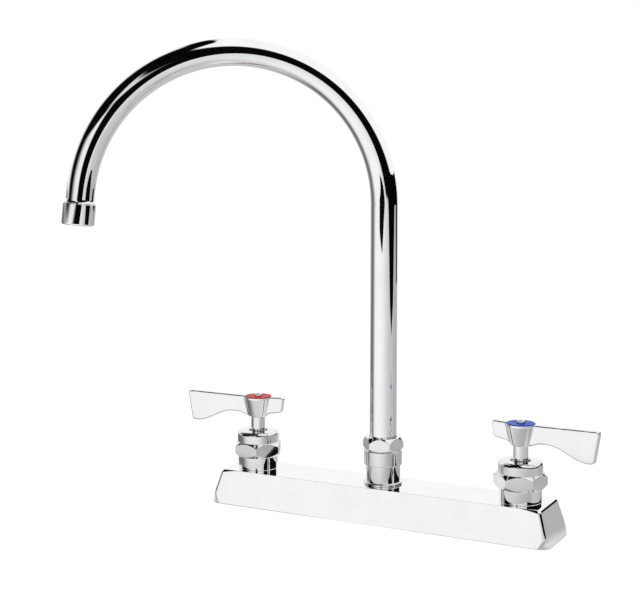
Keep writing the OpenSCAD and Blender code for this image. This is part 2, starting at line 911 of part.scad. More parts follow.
// Insert that breaks up the water, with a screen above and below its ribs
module aerator_insert() {
    insert_h = washer_end_z - insert_end_z;
    color("whitesmoke")
        at_outlet() {
            ring(screen_r, screen_r + insert_wall, insert_end_z, insert_h);
            intersection() {
                rod(screen_r + insert_wall / 2, insert_end_z + screen_t, insert_h - 2 * screen_t);
                for (turn = [0, 60, 120])
                    rotate([0, 0, turn])
                        translate([-screen_r - insert_wall, -insert_rib / 2, insert_end_z])
                            cube([2 * (screen_r + insert_wall), insert_rib, insert_h]);
            }
        }
}

// Round screen with rings of holes
module screen(z) {
    difference() {
        rod(screen_r - run_clear, z, screen_t);
        rod(screen_hole_d / 2, z - cut, screen_t + 2 * cut);
        for (row = [1:screen_rings], i = [0:6 * row - 1])
            rotate([0, 0, 60 * i / row])
                translate([row * screen_pitch, 0, 0])
                    rod(screen_hole_d / 2, z - cut, screen_t + 2 * cut);
    }
}

// Two screens, one above and one below the insert's ribs
module aerator_screens() {
    color("lightgray")
        at_outlet() {
            screen(insert_end_z);
            screen(washer_end_z - screen_t);
        }
}

deck_body();
at_hot() bonnet(hot_bonnet_turn);  // hot_bonnet
at_cold() bonnet(cold_bonnet_turn);  // cold_bonnet
at_hot() bonnet_seal();  // hot_bonnet_seal
at_cold() bonnet_seal();  // cold_bonnet_seal
at_hot() cartridge_cage();  // hot_cartridge_cage
at_cold() cartridge_cage();  // cold_cartridge_cage
at_hot() fixed_disc();  // hot_fixed_disc
at_cold() fixed_disc();  // cold_fixed_disc
at_hot() seat_seal();  // hot_seat_seal
at_cold() seat_seal();  // cold_seat_seal
spout_post();
post_seal();
spout_nut();
lower_swivel_washer();
upper_swivel_washer();
at_hot() rotate([0, 0, 180]) lever(lever_turn);  // hot_lever
at_hot() index_ring("crimson");  // hot_index_ring
at_hot() handle_screw();  // hot_handle_screw
at_hot() stem();  // hot_stem
at_hot() stem_rings();  // hot_stem_rings
at_hot() rotate([0, 0, 180]) stem_clip();  // hot_stem_clip
at_hot() moving_disc();  // hot_moving_disc
at_cold() lever(-lever_turn);  // cold_lever
at_cold() index_ring("royalblue");  // cold_index_ring
at_cold() handle_screw();  // cold_handle_screw
at_cold() stem();  // cold_stem
at_cold() stem_rings();  // cold_stem_rings
at_cold() stem_clip();  // cold_stem_clip
at_cold() moving_disc();  // cold_moving_disc
gooseneck();
spout_ferrule();
spigot_rings();
outlet_fitting();
aerator_housing();
aerator_insert();
aerator_screens();
aerator_washer();
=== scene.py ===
"""Fine pieces, finishes and studio of a two-handle gooseneck mixing tap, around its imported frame.

Lengths are millimetres until a mesh is made, which is in metres like the frame.
The hot valve is at -X, the cold valve is at +X, and the user stands at -Y.
"""
import functools
import json
import logging
import math
from dataclasses import dataclass, field, replace
from enum import Enum
from typing import Any, Callable, Sequence

import bmesh
import bpy
import numpy as np
from mathutils import Matrix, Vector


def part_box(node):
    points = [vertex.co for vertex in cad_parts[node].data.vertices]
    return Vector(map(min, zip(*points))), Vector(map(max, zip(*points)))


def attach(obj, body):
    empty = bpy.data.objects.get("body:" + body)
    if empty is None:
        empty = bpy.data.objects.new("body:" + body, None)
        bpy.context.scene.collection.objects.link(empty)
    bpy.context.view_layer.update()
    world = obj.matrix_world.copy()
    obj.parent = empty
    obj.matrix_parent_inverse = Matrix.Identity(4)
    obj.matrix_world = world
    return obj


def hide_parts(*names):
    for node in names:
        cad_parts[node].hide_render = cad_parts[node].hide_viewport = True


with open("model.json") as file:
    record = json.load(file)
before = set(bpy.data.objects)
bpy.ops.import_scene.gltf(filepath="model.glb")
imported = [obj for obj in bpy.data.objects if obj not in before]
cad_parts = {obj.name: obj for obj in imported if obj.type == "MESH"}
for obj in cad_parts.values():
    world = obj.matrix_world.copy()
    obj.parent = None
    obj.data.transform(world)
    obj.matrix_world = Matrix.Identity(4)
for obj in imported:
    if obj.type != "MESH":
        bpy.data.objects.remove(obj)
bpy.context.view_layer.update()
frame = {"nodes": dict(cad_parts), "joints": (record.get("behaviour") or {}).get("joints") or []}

MM = 0.001
LOG = logging.getLogger("tap")

Colour = tuple[float, float, float, float]
Span = tuple[float, float]
Thing = bpy.types.Object


@functools.cache
def top_of(node: str) -> float:
    """Height of a node's highest point, in millimetres."""
    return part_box(node)[1].z / MM


@functools.cache
def foot_of(node: str) -> float:
    """Height of a node's lowest point, in millimetres."""
    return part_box(node)[0].z / MM


def grey(level: float) -> Colour:
    """Neutral colour of one brightness."""
    return (level, level, level, 1.0)


def linked(name: str, mesh: bpy.types.Mesh) -> Thing:
    """Puts a mesh into the scene.

    Args:
        name: Name of its object.
        mesh: The mesh.

    Returns:
        The object, at the origin.
    """
    made = bpy.data.objects.new(name, mesh)
    bpy.context.scene.collection.objects.link(made)
    return made


def settle(thing: Thing) -> None:
    """Keeps the result of an object's modifiers as its plain mesh.

    Args:
        thing: The object, which loses its modifiers.
    """
    depsgraph = bpy.context.evaluated_depsgraph_get()
    mesh = bpy.data.meshes.new_from_object(thing.evaluated_get(depsgraph))
    thing.modifiers.clear()
    old, thing.data = thing.data, mesh
    bpy.data.meshes.remove(old)
    mesh.name = thing.name


class Value:
    """A number that varies: one output socket, with arithmetic that adds Math nodes."""

    def __init__(self, graph: "Graph", socket: bpy.types.NodeSocket) -> None:
        """Keeps the graph and the socket."""
        self.graph = graph
        self.socket = socket

    def math(self, operation: str, *others: "Value | float") -> "Value":
        """Adds one Math node.

        Args:
            operation: The node's operation.
            others: The operands after this value.

        Returns:
            The node's result.
        """
        operands = dict(enumerate((self, *others)))
        return self.graph.value("ShaderNodeMath", {"operation": operation}, operands)

    def __add__(self, other: "Value | float") -> "Value":
        """Sum."""
        return self.math("ADD", other)

    def __sub__(self, other: "Value | float") -> "Value":
        """Difference."""
        return self.math("SUBTRACT", other)

    def __mul__(self, other: "Value | float") -> "Value":
        """Product."""
        return self.math("MULTIPLY", other)

    def __truediv__(self, other: "Value | float") -> "Value":
        """Quotient."""
        return self.math("DIVIDE", other)

    def after(self, operation: str, first: float) -> "Value":
        """Math node with a plain number before this value."""
        return self.graph.value("ShaderNodeMath", {"operation": operation}, {0: first, 1: self})

    def __rsub__(self, other: float) -> "Value":
        """Difference from a plain number."""
        return self.after("SUBTRACT", other)

    def __rtruediv__(self, other: float) -> "Value":
        """Plain number divided by this value."""
        return self.after("DIVIDE", other)

    __radd__ = __add__
    __rmul__ = __mul__

    def __neg__(self) -> "Value":
        """Opposite."""
        return self * -1.0

    def __abs__(self) -> "Value":
        """Size without sign."""
        return self.math("ABSOLUTE")

    def least(self, other: "Value | float") -> "Value":
        """Smaller of two values."""
        return self.math("MINIMUM", other)

    def most(self, other: "Value | float") -> "Value":
        """Larger of two values."""
        return self.math("MAXIMUM", other)

    def rise(self, low: float, high: float) -> "Value":
        """Smooth step from 0 at low to 1 at high."""
        limits = {0: self, "From Min": low, "From Max": high}
        return self.graph.value("ShaderNodeMapRange", {"interpolation_type": "SMOOTHSTEP"}, limits)

    def fall(self, low: float, high: float) -> "Value":
        """The reverse of rise."""
        return 1.0 - self.rise(low, high)


class Graph:
    """Builds one node tree, for a surface, a world or a shape."""

    def __init__(self, tree: bpy.types.NodeTree) -> None:
        """Keeps the tree."""
        self.tree = tree

    @classmethod
    def blank(cls, owner: bpy.types.Material | bpy.types.World) -> "Graph":
        """Starts the tree of a new material or world.

        Args:
            owner: The material or world.

        Returns:
            The graph of its emptied tree.
        """
        owner.use_nodes = True
        owner.node_tree.nodes.clear()
        return cls(owner.node_tree)

    def node(
        self, kind: str, settings: dict[str, Any] | None = None, sockets: dict[Any, Any] | None = None
    ) -> bpy.types.Node:
        """Adds a node.

        Args:
            kind: The node's type.
            settings: Its properties, which are set first.
            sockets: Its inputs by name or number, each a plain value, a socket or a Value.

        Returns:
            The node.
        """
        made = self.tree.nodes.new(kind)
        for name, choice in (settings or {}).items():
            setattr(made, name, choice)
        for key, given in (sockets or {}).items():
            given = given.socket if isinstance(given, Value) else given
            if isinstance(given, bpy.types.NodeSocket):
                self.tree.links.new(given, made.inputs[key])
            else:
                made.inputs[key].default_value = given
        return made

    def value(
        self, kind: str, settings: dict[str, Any] | None = None, sockets: dict[Any, Any] | None = None,
        output: int | str = 0,
    ) -> Value:
        """Adds a node and wraps one of its outputs.

        Args:
            kind: The node's type.
            settings: Its properties.
            sockets: Its inputs.
            output: Which output to wrap.

        Returns:
            The wrapped output.
        """
        return Value(self, self.node(kind, settings, sockets).outputs[output])

    def parts(self, vector: bpy.types.NodeSocket) -> list[Value]:
        """Three coordinates of a vector."""
        split = self.node("ShaderNodeSeparateXYZ", None, {"Vector": vector})
        return [Value(self, socket) for socket in split.outputs]

    def noise(self, point: bpy.types.NodeSocket, size: float, detail: float) -> Value:
        """Noise from 0 to 1 with patches of a size in millimetres."""
        inputs = {"Vector": point, "Scale": 1.0 / (size * MM), "Detail": detail}
        return self.value("ShaderNodeTexNoise", None, inputs)

    def mix(self, share: Value, first: Colour, second: Colour) -> bpy.types.NodeSocket:
        """Colour between two colours."""
        inputs = {0: share, 6: first, 7: second}
        return self.node("ShaderNodeMix", {"data_type": "RGBA"}, inputs).outputs[2]


PATCH_SPAN: Span = (0.35, 0.65)
PATCH_DETAIL, GRAIN_DETAIL, RING_DETAIL = 3.0, 4.0, 3.0


@dataclass(frozen=True)
class Finish:
    """One surface finish, named after its slot in the record."""

    slot: str
    light: Colour
    dark: Colour
    roughness: float
    haze: float
    metallic: float = 1.0
    gloss: float = 0.5
    patch: float = 14.0
    grain: float = 2.0
    relief: float = 0.002
    bump: float = 0.1

    @property
    def name(self) -> str:
        """Name of the finish's material."""
        return f"{self.slot}_finish"

    def height(self, graph: Graph, point: bpy.types.NodeSocket) -> Value:
        """Fine relief of the surface, from 0 to 1."""
        return graph.noise(point, self.grain, GRAIN_DETAIL)

    def material(self) -> bpy.types.Material:
        """Builds the material, once.

        Returns:
            The material, with its colour, gloss and relief varying over the surface.
        """
        found = bpy.data.materials.get(self.name)
        if found:
            return found
        made = bpy.data.materials.new(self.name)
        graph = Graph.blank(made)
        point = graph.node("ShaderNodeTexCoord").outputs["Object"]
        patches = graph.noise(point, self.patch, PATCH_DETAIL).rise(*PATCH_SPAN)
        relief = self.height(graph, point)
        bump = {"Strength": self.bump, "Distance": self.relief * MM, "Height": relief}
        shader = graph.node("ShaderNodeBsdfPrincipled", None, {
            "Base Color": graph.mix(patches, self.light, self.dark),
            "Metallic": self.metallic,
            "Roughness": patches * self.haze + self.roughness,
            "Specular IOR Level": self.gloss,
            "Normal": graph.node("ShaderNodeBump", None, bump).outputs["Normal"],
        })
        graph.node("ShaderNodeOutputMaterial", None, {"Surface": shader.outputs["BSDF"]})
        return made


@dataclass(frozen=True)
class TurnedFinish(Finish):
    """Finish with the fine rings that a lathe tool leaves round an upright axis."""

    pitch: float = 0.35

    def height(self, graph: Graph, point: bpy.types.NodeSocket) -> Value:
        """Rings by height, uneven as a tool leaves them."""
        inputs = {"W": graph.parts(point)[2] / (self.pitch * MM), "Scale": 1.0, "Detail": RING_DETAIL}
        return graph.value("ShaderNodeTexNoise", {"noise_dimensions": "1D"}, inputs)


CAST_CHROME = Finish(
    "cast_chrome", light=(0.90, 0.91, 0.925, 1), dark=(0.87, 0.88, 0.895, 1), roughness=0.03, haze=0.02, grain=6.0
)
TUBE_CHROME = Finish(
    "tube_chrome", light=(0.91, 0.915, 0.92, 1), dark=(0.88, 0.885, 0.89, 1), roughness=0.025, haze=0.015
)
TURNED_CHROME = TurnedFinish(
    "turned_chrome", light=(0.84, 0.84, 0.835, 1), dark=(0.79, 0.79, 0.785, 1), roughness=0.04, haze=0.03, relief=0.001
)
LEVER_CHROME = Finish(
    "lever_chrome", light=(0.90, 0.905, 0.91, 1), dark=(0.87, 0.875, 0.88, 1), roughness=0.1, haze=0.03, bump=0.03
)
BARE_BRASS = Finish(
    "bare_brass", light=(0.78, 0.60, 0.30, 1), dark=(0.60, 0.43, 0.19, 1), roughness=0.32, haze=0.18,
    grain=0.8, relief=0.06, bump=0.5,
)
SEAL_RUBBER = Finish(
    "seal_rubber", light=(0.022, 0.022, 0.023, 1), dark=(0.035, 0.034, 0.033, 1), roughness=0.5, haze=0.15,
    metallic=0.0, grain=0.4, relief=0.02,
)
VALVE_CERAMIC = Finish(
    "valve_ceramic", light=(0.86, 0.85, 0.82, 1), dark=(0.80, 0.79, 0.75, 1), roughness=0.18, haze=0.1,
    metallic=0.0, grain=0.3, relief=0.004,
)
SLIP_PLASTIC = Finish(
    "slip_plastic", light=(0.80, 0.80, 0.77, 1), dark=(0.74, 0.74, 0.71, 1), roughness=0.35, haze=0.12,
    metallic=0.0, grain=0.5, relief=0.01,
)
SPRING_STEEL = Finish(
    "spring_steel", light=(0.62, 0.62, 0.61, 1), dark=(0.50, 0.50, 0.49, 1), roughness=0.22, haze=0.1,
    grain=0.3, relief=0.01, bump=0.3,
)
HOT_RED, COLD_BLUE = (
    Finish(slot, light, dark, roughness=0.3, haze=0.1, metallic=0.0, gloss=0.1, patch=4.0, grain=0.6)
    for slot, light, dark in (
        ("hot_red", (0.50, 0.012, 0.02, 1), (0.40, 0.006, 0.012, 1)),
        ("cold_blue", (0.01, 0.075, 0.47, 1), (0.005, 0.05, 0.38, 1)),
    )
)
FINISHES = {
    finish.slot: finish for finish in (
        CAST_CHROME, TUBE_CHROME, TURNED_CHROME, LEVER_CHROME, BARE_BRASS, SEAL_RUBBER,
        VALVE_CERAMIC, SLIP_PLASTIC, SPRING_STEEL, HOT_RED, COLD_BLUE,
    )
}


# Roundings of turned edges, from the keenest to the softest.
HAIR, KEEN, CRISP, FINE, EASED, SOFT = 0.05, 0.1, 0.15, 0.2, 0.3, 0.4


@dataclass(frozen=True)
class Corner:
    """One corner of a turned section: its radius from the axis, its height and its rounding."""

    r: float
    z: float
    fillet: float = KEEN


Section = Sequence[Corner]
# The most that a rounding takes up of each edge beside it.
EDGE_SHARE = 0.49
NUDGE = 1e-4
COLUMNS = 96
ARC_STEPS = 4
BEVEL_STEPS = 6
SMOOTH_ANGLE = math.radians(32)
SIXTH = math.pi / 3


def rounded_section(corners: Section, steps: int) -> np.ndarray:
    """Rounds the corners of a closed section.

    Args:
        corners: The corners, anticlockwise with the axis on the left.
        steps: How many facets round each corner.

    Returns:
        One row for each point: radius, height and the two parts of the tangent.
    """
    places = np.array([[corner.r, corner.z] for corner in corners])
    rows = []
    for i, corner in enumerate(corners):
        back = places[i - 1] - places[i]
        onward = places[(i + 1) % len(corners)] - places[i]
        lengths = np.hypot(*back), np.hypot(*onward)
        back, onward = back / lengths[0], onward / lengths[1]
        if corner.r == 0 or corner.fillet == 0:
            rows.append([*places[i], *(onward if abs(onward[0]) > abs(back[0]) else -back)])
            continue
        half = math.acos(np.clip(back @ onward, -1.0, 1.0)) / 2
        fillet = min(corner.fillet, EDGE_SHARE * min(lengths) * math.tan(half))
        side = 1.0 if back[1] * onward[0] > back[0] * onward[1] else -1.0
        start = places[i] + back * fillet / math.tan(half)
        middle = start + side * fillet * np.array([back[1], -back[0]])
        for k in range(steps + 1):
            turn = side * (math.pi - 2 * half) * k / steps
            way = np.array([
                -back[0] * math.cos(turn) + back[1] * math.sin(turn),
                -back[0] * math.sin(turn) - back[1] * math.cos(turn),
            ])
            rows.append([*(middle + side * fillet * np.array([way[1], -way[0]])), *way])
    return np.array(rows)


@dataclass
class Skin:
    """Closed surface: its points in millimetres, its faces and, where known, its true normals."""

    points: np.ndarray
    faces: list[tuple[int, ...]]
    normals: np.ndarray | None = None

    def bare(self) -> "Skin":
        """Copy without its normals, for Boolean steps."""
        return replace(self, normals=None)

    def placed(self, place: Matrix) -> "Skin":
        """Moves the skin.

        Args:
            place: The matrix, whose shift is in millimetres.

        Returns:
            The moved copy.
        """
        turn = np.array(place.to_3x3())
        shift = np.array(place.translation)
        normals = None if self.normals is None else self.normals @ turn.T
        return Skin(self.points @ turn.T + shift, self.faces, normals)

    def thing(self, name: str, finish: Finish, inner: Finish | None = None) -> Thing:
        """Makes an object of the skin.

        Args:
            name: The object's name.
            finish: Its finish.
            inner: The finish of its faces where it is a tool that cuts a rougher hollow.

        Returns:
            The object, at the origin with its place in its mesh.
        """
        mesh = bpy.data.meshes.new(name)
        mesh.from_pydata((self.points * MM).tolist(), [], self.faces)
        mesh.polygons.foreach_set("use_smooth", [True] * len(mesh.polygons))
        mesh.materials.append(finish.material())
        if inner:
            mesh.materials.append(inner.material())
            mesh.polygons.foreach_set("material_index", [1] * len(mesh.polygons))
        if self.normals is not None:
            mesh.normals_split_custom_set_from_vertices(self.normals.tolist())
        mesh.update()
        return linked(name, mesh)


def revolve(section: Callable[[float], Section], angles: np.ndarray) -> Skin:
    """Sweeps a section round the upright axis, where it may change with the angle.

    Args:
        section: Gives the closed section at an angle.
        angles: The angles of the columns, in radians and in order.

    Returns:
        The closed skin with its true normals.
    """
    def column(angle: float) -> tuple[np.ndarray, np.ndarray]:
        """Makes one column.

        Args:
            angle: Its direction about the axis.

        Returns:
            Its points and the tangents along it.
        """
        rows = rounded_section(section(angle), ARC_STEPS)
        out = np.array([math.cos(angle), math.sin(angle), 0.0])
        up = np.array([0.0, 0.0, 1.0])
        return rows[:, :1] * out + rows[:, 1:2] * up, rows[:, 2:3] * out + rows[:, 3:] * up

    points, along = (np.array(part) for part in zip(*map(column, angles)))
    around = np.array([column(a + NUDGE)[0] - column(a - NUDGE)[0] for a in angles])
    on_axis = np.hypot(points[0, :, 0], points[0, :, 1]) < NUDGE
    side = np.stack([-np.sin(angles), np.cos(angles), np.zeros(len(angles))], -1)
    around = np.where(on_axis[None, :, None], side[:, None, :], around)
    normals = np.cross(around, along)
    normals[:, on_axis] = normals[:1, on_axis]
    normals /= np.linalg.norm(normals, axis=-1, keepdims=True)
    rings, count = points.shape[:2]
    number = np.arange(rings * count).reshape(rings, count)
    number[:, on_axis] = number[0, on_axis]
    used, compact = np.unique(number, return_inverse=True)
    number = compact.reshape(rings, count)
    faces = []
    for i in range(rings):
        for j in range(count):
            k, n = (j + 1) % count, (i + 1) % rings
            if not (on_axis[j] and on_axis[k]):
                faces.append(tuple(dict.fromkeys((number[i, j], number[n, j], number[n, k], number[i, k]))))
    return Skin(points.reshape(-1, 3)[used], faces, normals.reshape(-1, 3)[used])


def turned(corners: Section, columns: int = COLUMNS) -> Skin:
    """Sweeps one section all the way round."""
    return revolve(lambda angle: corners, np.arange(columns) * math.tau / columns)


def rod(r: float, low: float, high: float, edge: float = FINE) -> Skin:
    """Plain upright rod."""
    return turned([Corner(0, low), Corner(r, low, edge), Corner(r, high, edge), Corner(0, high)])


def loft(levels: Sequence[np.ndarray]) -> Skin:
    """Skins a stack of outlines with equal numbers of points.

    Args:
        levels: The outlines, from the lowest to the highest.

    Returns:
        The closed skin.
    """
    count = len(levels[0])
    faces: list[tuple[int, ...]] = [tuple(range(count))[::-1]]
    for j in range(len(levels) - 1):
        for i in range(count):
            n = (i + 1) % count
            faces.append((j * count + i, j * count + n, (j + 1) * count + n, (j + 1) * count + i))
    faces.append(tuple(range((len(levels) - 1) * count, len(levels) * count)))
    return Skin(np.concatenate(levels), faces)


def shifted(x: float, y: float = 0.0, z: float = 0.0) -> Matrix:
    """Matrix that shifts, in millimetres."""
    return Matrix.Translation((x, y, z))


def upright(turn: float) -> Matrix:
    """Matrix that turns about the upright axis, in degrees."""
    return Matrix.Rotation(math.radians(turn), 4, "Z")


def block(low: Sequence[float], high: Sequence[float], edge: float) -> Skin:
    """Block with its upright and top edges rounded.

    Args:
        low: Its lowest corner.
        high: Its highest corner.
        edge: How far the rounding reaches from each edge, or 0 for none.

    Returns:
        The closed skin.
    """
    made = bmesh.new()
    bmesh.ops.create_cube(made, size=1.0)
    for vertex in made.verts:
        share = np.array(vertex.co) + 0.5
        vertex.co = np.array(low) + share * (np.array(high) - np.array(low))
    if edge > 0:
        edges = [e for e in made.edges if max(v.co.z for v in e.verts) > low[2] + edge]
        bmesh.ops.bevel(
            made, geom=edges, offset=edge, segments=BEVEL_STEPS, profile=0.5, affect="EDGES", clamp_overlap=True
        )
    bmesh.ops.recalc_face_normals(made, faces=made.faces)
    made.verts.index_update()
    points = np.array([tuple(v.co) for v in made.verts])
    faces = [tuple(v.index for v in face.verts) for face in made.faces]
    made.free()
    return Skin(points, faces)


Step = tuple[str, Skin, Finish | None]


def carve(piece: Thing, finish: Finish, steps: Sequence[Step]) -> None:
    """Joins and cuts a closed mesh with other closed skins.

    Args:
        piece: The object to change.
        finish: Its finish.
        steps: Each step's Boolean operation, its tool, and the finish that the tool leaves where it is another.
    """
    tools = [(operation, skin.bare().thing("tool", finish, inner)) for operation, skin, inner in steps]
    for operation, tool in tools:
        modifier = piece.modifiers.new("carve", "BOOLEAN")
        modifier.operation = operation
        modifier.solver = "MANIFOLD"
        modifier.object = tool
    settle(piece)
    for _, tool in tools:
        bpy.data.meshes.remove(tool.data)
    soften(piece)


def soften(piece: Thing) -> None:
    """Shades a mesh smooth up to its sharp edges, with flat faces kept flat.

    Args:
        piece: The mesh's object.
    """
    piece.data.polygons.foreach_set("use_smooth", [True] * len(piece.data.polygons))
    piece.data.set_sharp_from_angle(angle=SMOOTH_ANGLE)
    modifier = piece.modifiers.new("even_gloss", "WEIGHTED_NORMAL")
    modifier.keep_sharp = True


class Recipe(Graph):
    """A Geometry Nodes tree with named sizes."""

    def __init__(self, name: str) -> None:
        """Starts an empty tree with a geometry output.

        Args:
            name: The tree's name.
        """
        super().__init__(bpy.data.node_groups.new(name, "GeometryNodeTree"))
        self.tree.interface.new_socket("Geometry", in_out="OUTPUT", socket_type="NodeSocketGeometry")
        self.entry = self.node("NodeGroupInput")
        self.sizes: dict[str, float] = {}

    def size(self, name: str, given: float) -> Value:
        """Adds a named input.

        Args:
            name: The input's name.
            given: Its value, in metres or radians.

        Returns:
            The input.
        """
        socket = self.tree.interface.new_socket(name, in_out="INPUT", socket_type="NodeSocketFloat")
        self.sizes[socket.identifier] = given
        return Value(self, self.entry.outputs[name])

    def point(self, x: Value | float, y: Value | float, z: Value | float) -> bpy.types.NodeSocket:
        """Vector of three numbers."""
        return self.node("ShaderNodeCombineXYZ", None, {0: x, 1: y, 2: z}).outputs[0]

    def sweep(self, path: bpy.types.NodeSocket, radius: Value, sides: int, caps: bool = True) -> bpy.types.NodeSocket:
        """Runs a round section along a curve.

        Args:
            path: The curve.
            radius: The section's radius.
            sides: How many sides it has.
            caps: Whether the ends are closed.

        Returns:
            The tube.
        """
        circle = self.node("GeometryNodeCurvePrimitiveCircle", None, {"Resolution": sides, "Radius": radius})
        tube = self.node(
            "GeometryNodeCurveToMesh", None, {"Curve": path, "Profile Curve": circle.outputs[0], "Fill Caps": caps}
        )
        return tube.outputs[0]

    def grow(self, name: str, geometry: bpy.types.NodeSocket, finish: Finish) -> Thing:
        """Runs the tree and keeps its result as a plain mesh.

        Args:
            name: The object's name.
            geometry: The tree's result.
            finish: The finish of the whole result.

        Returns:
            The object, with no modifier left.
        """
        smooth = self.node("GeometryNodeSetShadeSmooth", None, {0: geometry})
        real = self.node("GeometryNodeRealizeInstances", None, {0: smooth.outputs[0]})
        dressed = self.node(
            "GeometryNodeSetMaterial", None, {"Geometry": real.outputs[0], "Material": finish.material()}
        )
        self.node("NodeGroupOutput", None, {0: dressed.outputs[0]})
        made = linked(name, bpy.data.meshes.new(name))
        modifier = made.modifiers.new("grow", "NODES")
        modifier.node_group = self.tree
        for identifier, given in self.sizes.items():
            modifier[identifier] = given
        settle(made)
        return made


@dataclass
class Piece:
    """A fine mesh, the body it rides on, its finish and the CAD nodes it stands for."""

    thing: Thing
    body: str
    finish: Finish
    nodes: tuple[str, ...] = ()

    @classmethod
    def of(cls, skin: Skin, name: str, body: str, finish: Finish, node: str) -> "Piece":
        """Piece that is made of a skin and stands for one CAD node."""
        return cls(skin.thing(name, finish), body, finish, (node,))

    def seat(self) -> None:
        """Puts the piece on its body and reports it."""
        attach(self.thing, self.body)
        if self.nodes:
            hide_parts(*self.nodes)
        LOG.info("%s rides on %s, %d faces", self.thing.name, self.body, len(self.thing.data.polygons))


class Side(Enum):
    """The hot or the cold valve."""

    HOT = "hot"
    COLD = "cold"

    @property
    def body(self) -> str:
        """Body that turns with this valve's lever."""
        return f"{self.value}_handle"

    @property
    def axis_x(self) -> float:
        """Place of the valve's axis along the deck body."""
        joint = next(j for j in frame["joints"] if j["child"] == self.body)
        return joint["pos_m"][0] / MM

    def facing(self, forward: float) -> float:
        """Direction of the closed blade, which points forward a little, in degrees about the valve's axis."""
        return 180.0 + forward if self is Side.HOT else -forward

    @property
    def bonnet_turn(self) -> float:
        """How far the bonnet turned when it was tightened, in degrees."""
        return -6.0 if self is Side.HOT else 16.0

    @property
    def index(self) -> Finish:
        """Finish of the valve's index ring."""
        return HOT_RED if self is Side.HOT else COLD_BLUE

    def node(self, part: str) -> str:
        """Name of this valve's copy of a part."""
        return f"{self.value}_{part}"


@dataclass(frozen=True)
class Hexagon:
    """Chamfered hexagon with softened corners, the first at the angle turn."""

    flats: float
    turn: float
    chamfer_r: float
    crown: float
    top_slope: float = 1.0
    foot_edge: float = CRISP
    top_edge: float = CRISP
    soft: float = 0.5
    corner_steps: int = 7
    flat_steps: int = 12

    @property
    def centre(self) -> float:
        """Distance from the axis to the middle of each corner's rounding."""
        return (self.flats / 2 - self.soft) / math.cos(SIXTH / 2)

    @property
    def half_corner(self) -> float:
        """Half the angle that each rounding takes up."""
        return math.atan2(self.soft / 2, self.centre + self.soft * math.cos(SIXTH / 2))

    def reach(self, angle: float) -> float:
        """Distance from the axis to the outline.

        Args:
            angle: Direction about the axis, in radians.

        Returns:
            The distance.
        """
        off = abs((angle - math.radians(self.turn) + SIXTH / 2) % SIXTH - SIXTH / 2)
        if off > self.half_corner:
            return self.flats / 2 / math.cos(SIXTH / 2 - off)
        return self.centre * math.cos(off) + math.sqrt(self.soft**2 - (self.centre * math.sin(off)) ** 2)

    def corners(self, angle: float, low: float, high: float) -> list[Corner]:
        """Part of a section that follows the hexagon and its chamfers.

        Args:
            angle: Direction about the axis, in radians.
            low: Height of its lower face.
            high: Height of its upper face.

        Returns:
            The corners, from the lowest to the highest.
        """
        reach = self.reach(angle)
        chamfer = reach - self.chamfer_r
        return [
            Corner(self.chamfer_r, low, self.foot_edge), Corner(reach, low + chamfer, self.crown),
            Corner(reach, high - chamfer * self.top_slope, self.crown), Corner(self.chamfer_r, high, self.top_edge),
        ]

    def angles(self) -> np.ndarray:
        """Columns that follow the outline closely at its corners.

        Returns:
            Their angles, in radians.
        """
        corner = np.linspace(-self.half_corner, self.half_corner, self.corner_steps)
        flat = np.linspace(self.half_corner, SIXTH - self.half_corner, self.flat_steps)[1:-1]
        one = np.concatenate([corner, flat])
        return np.concatenate([one + k * SIXTH for k in range(6)]) + math.radians(self.turn)


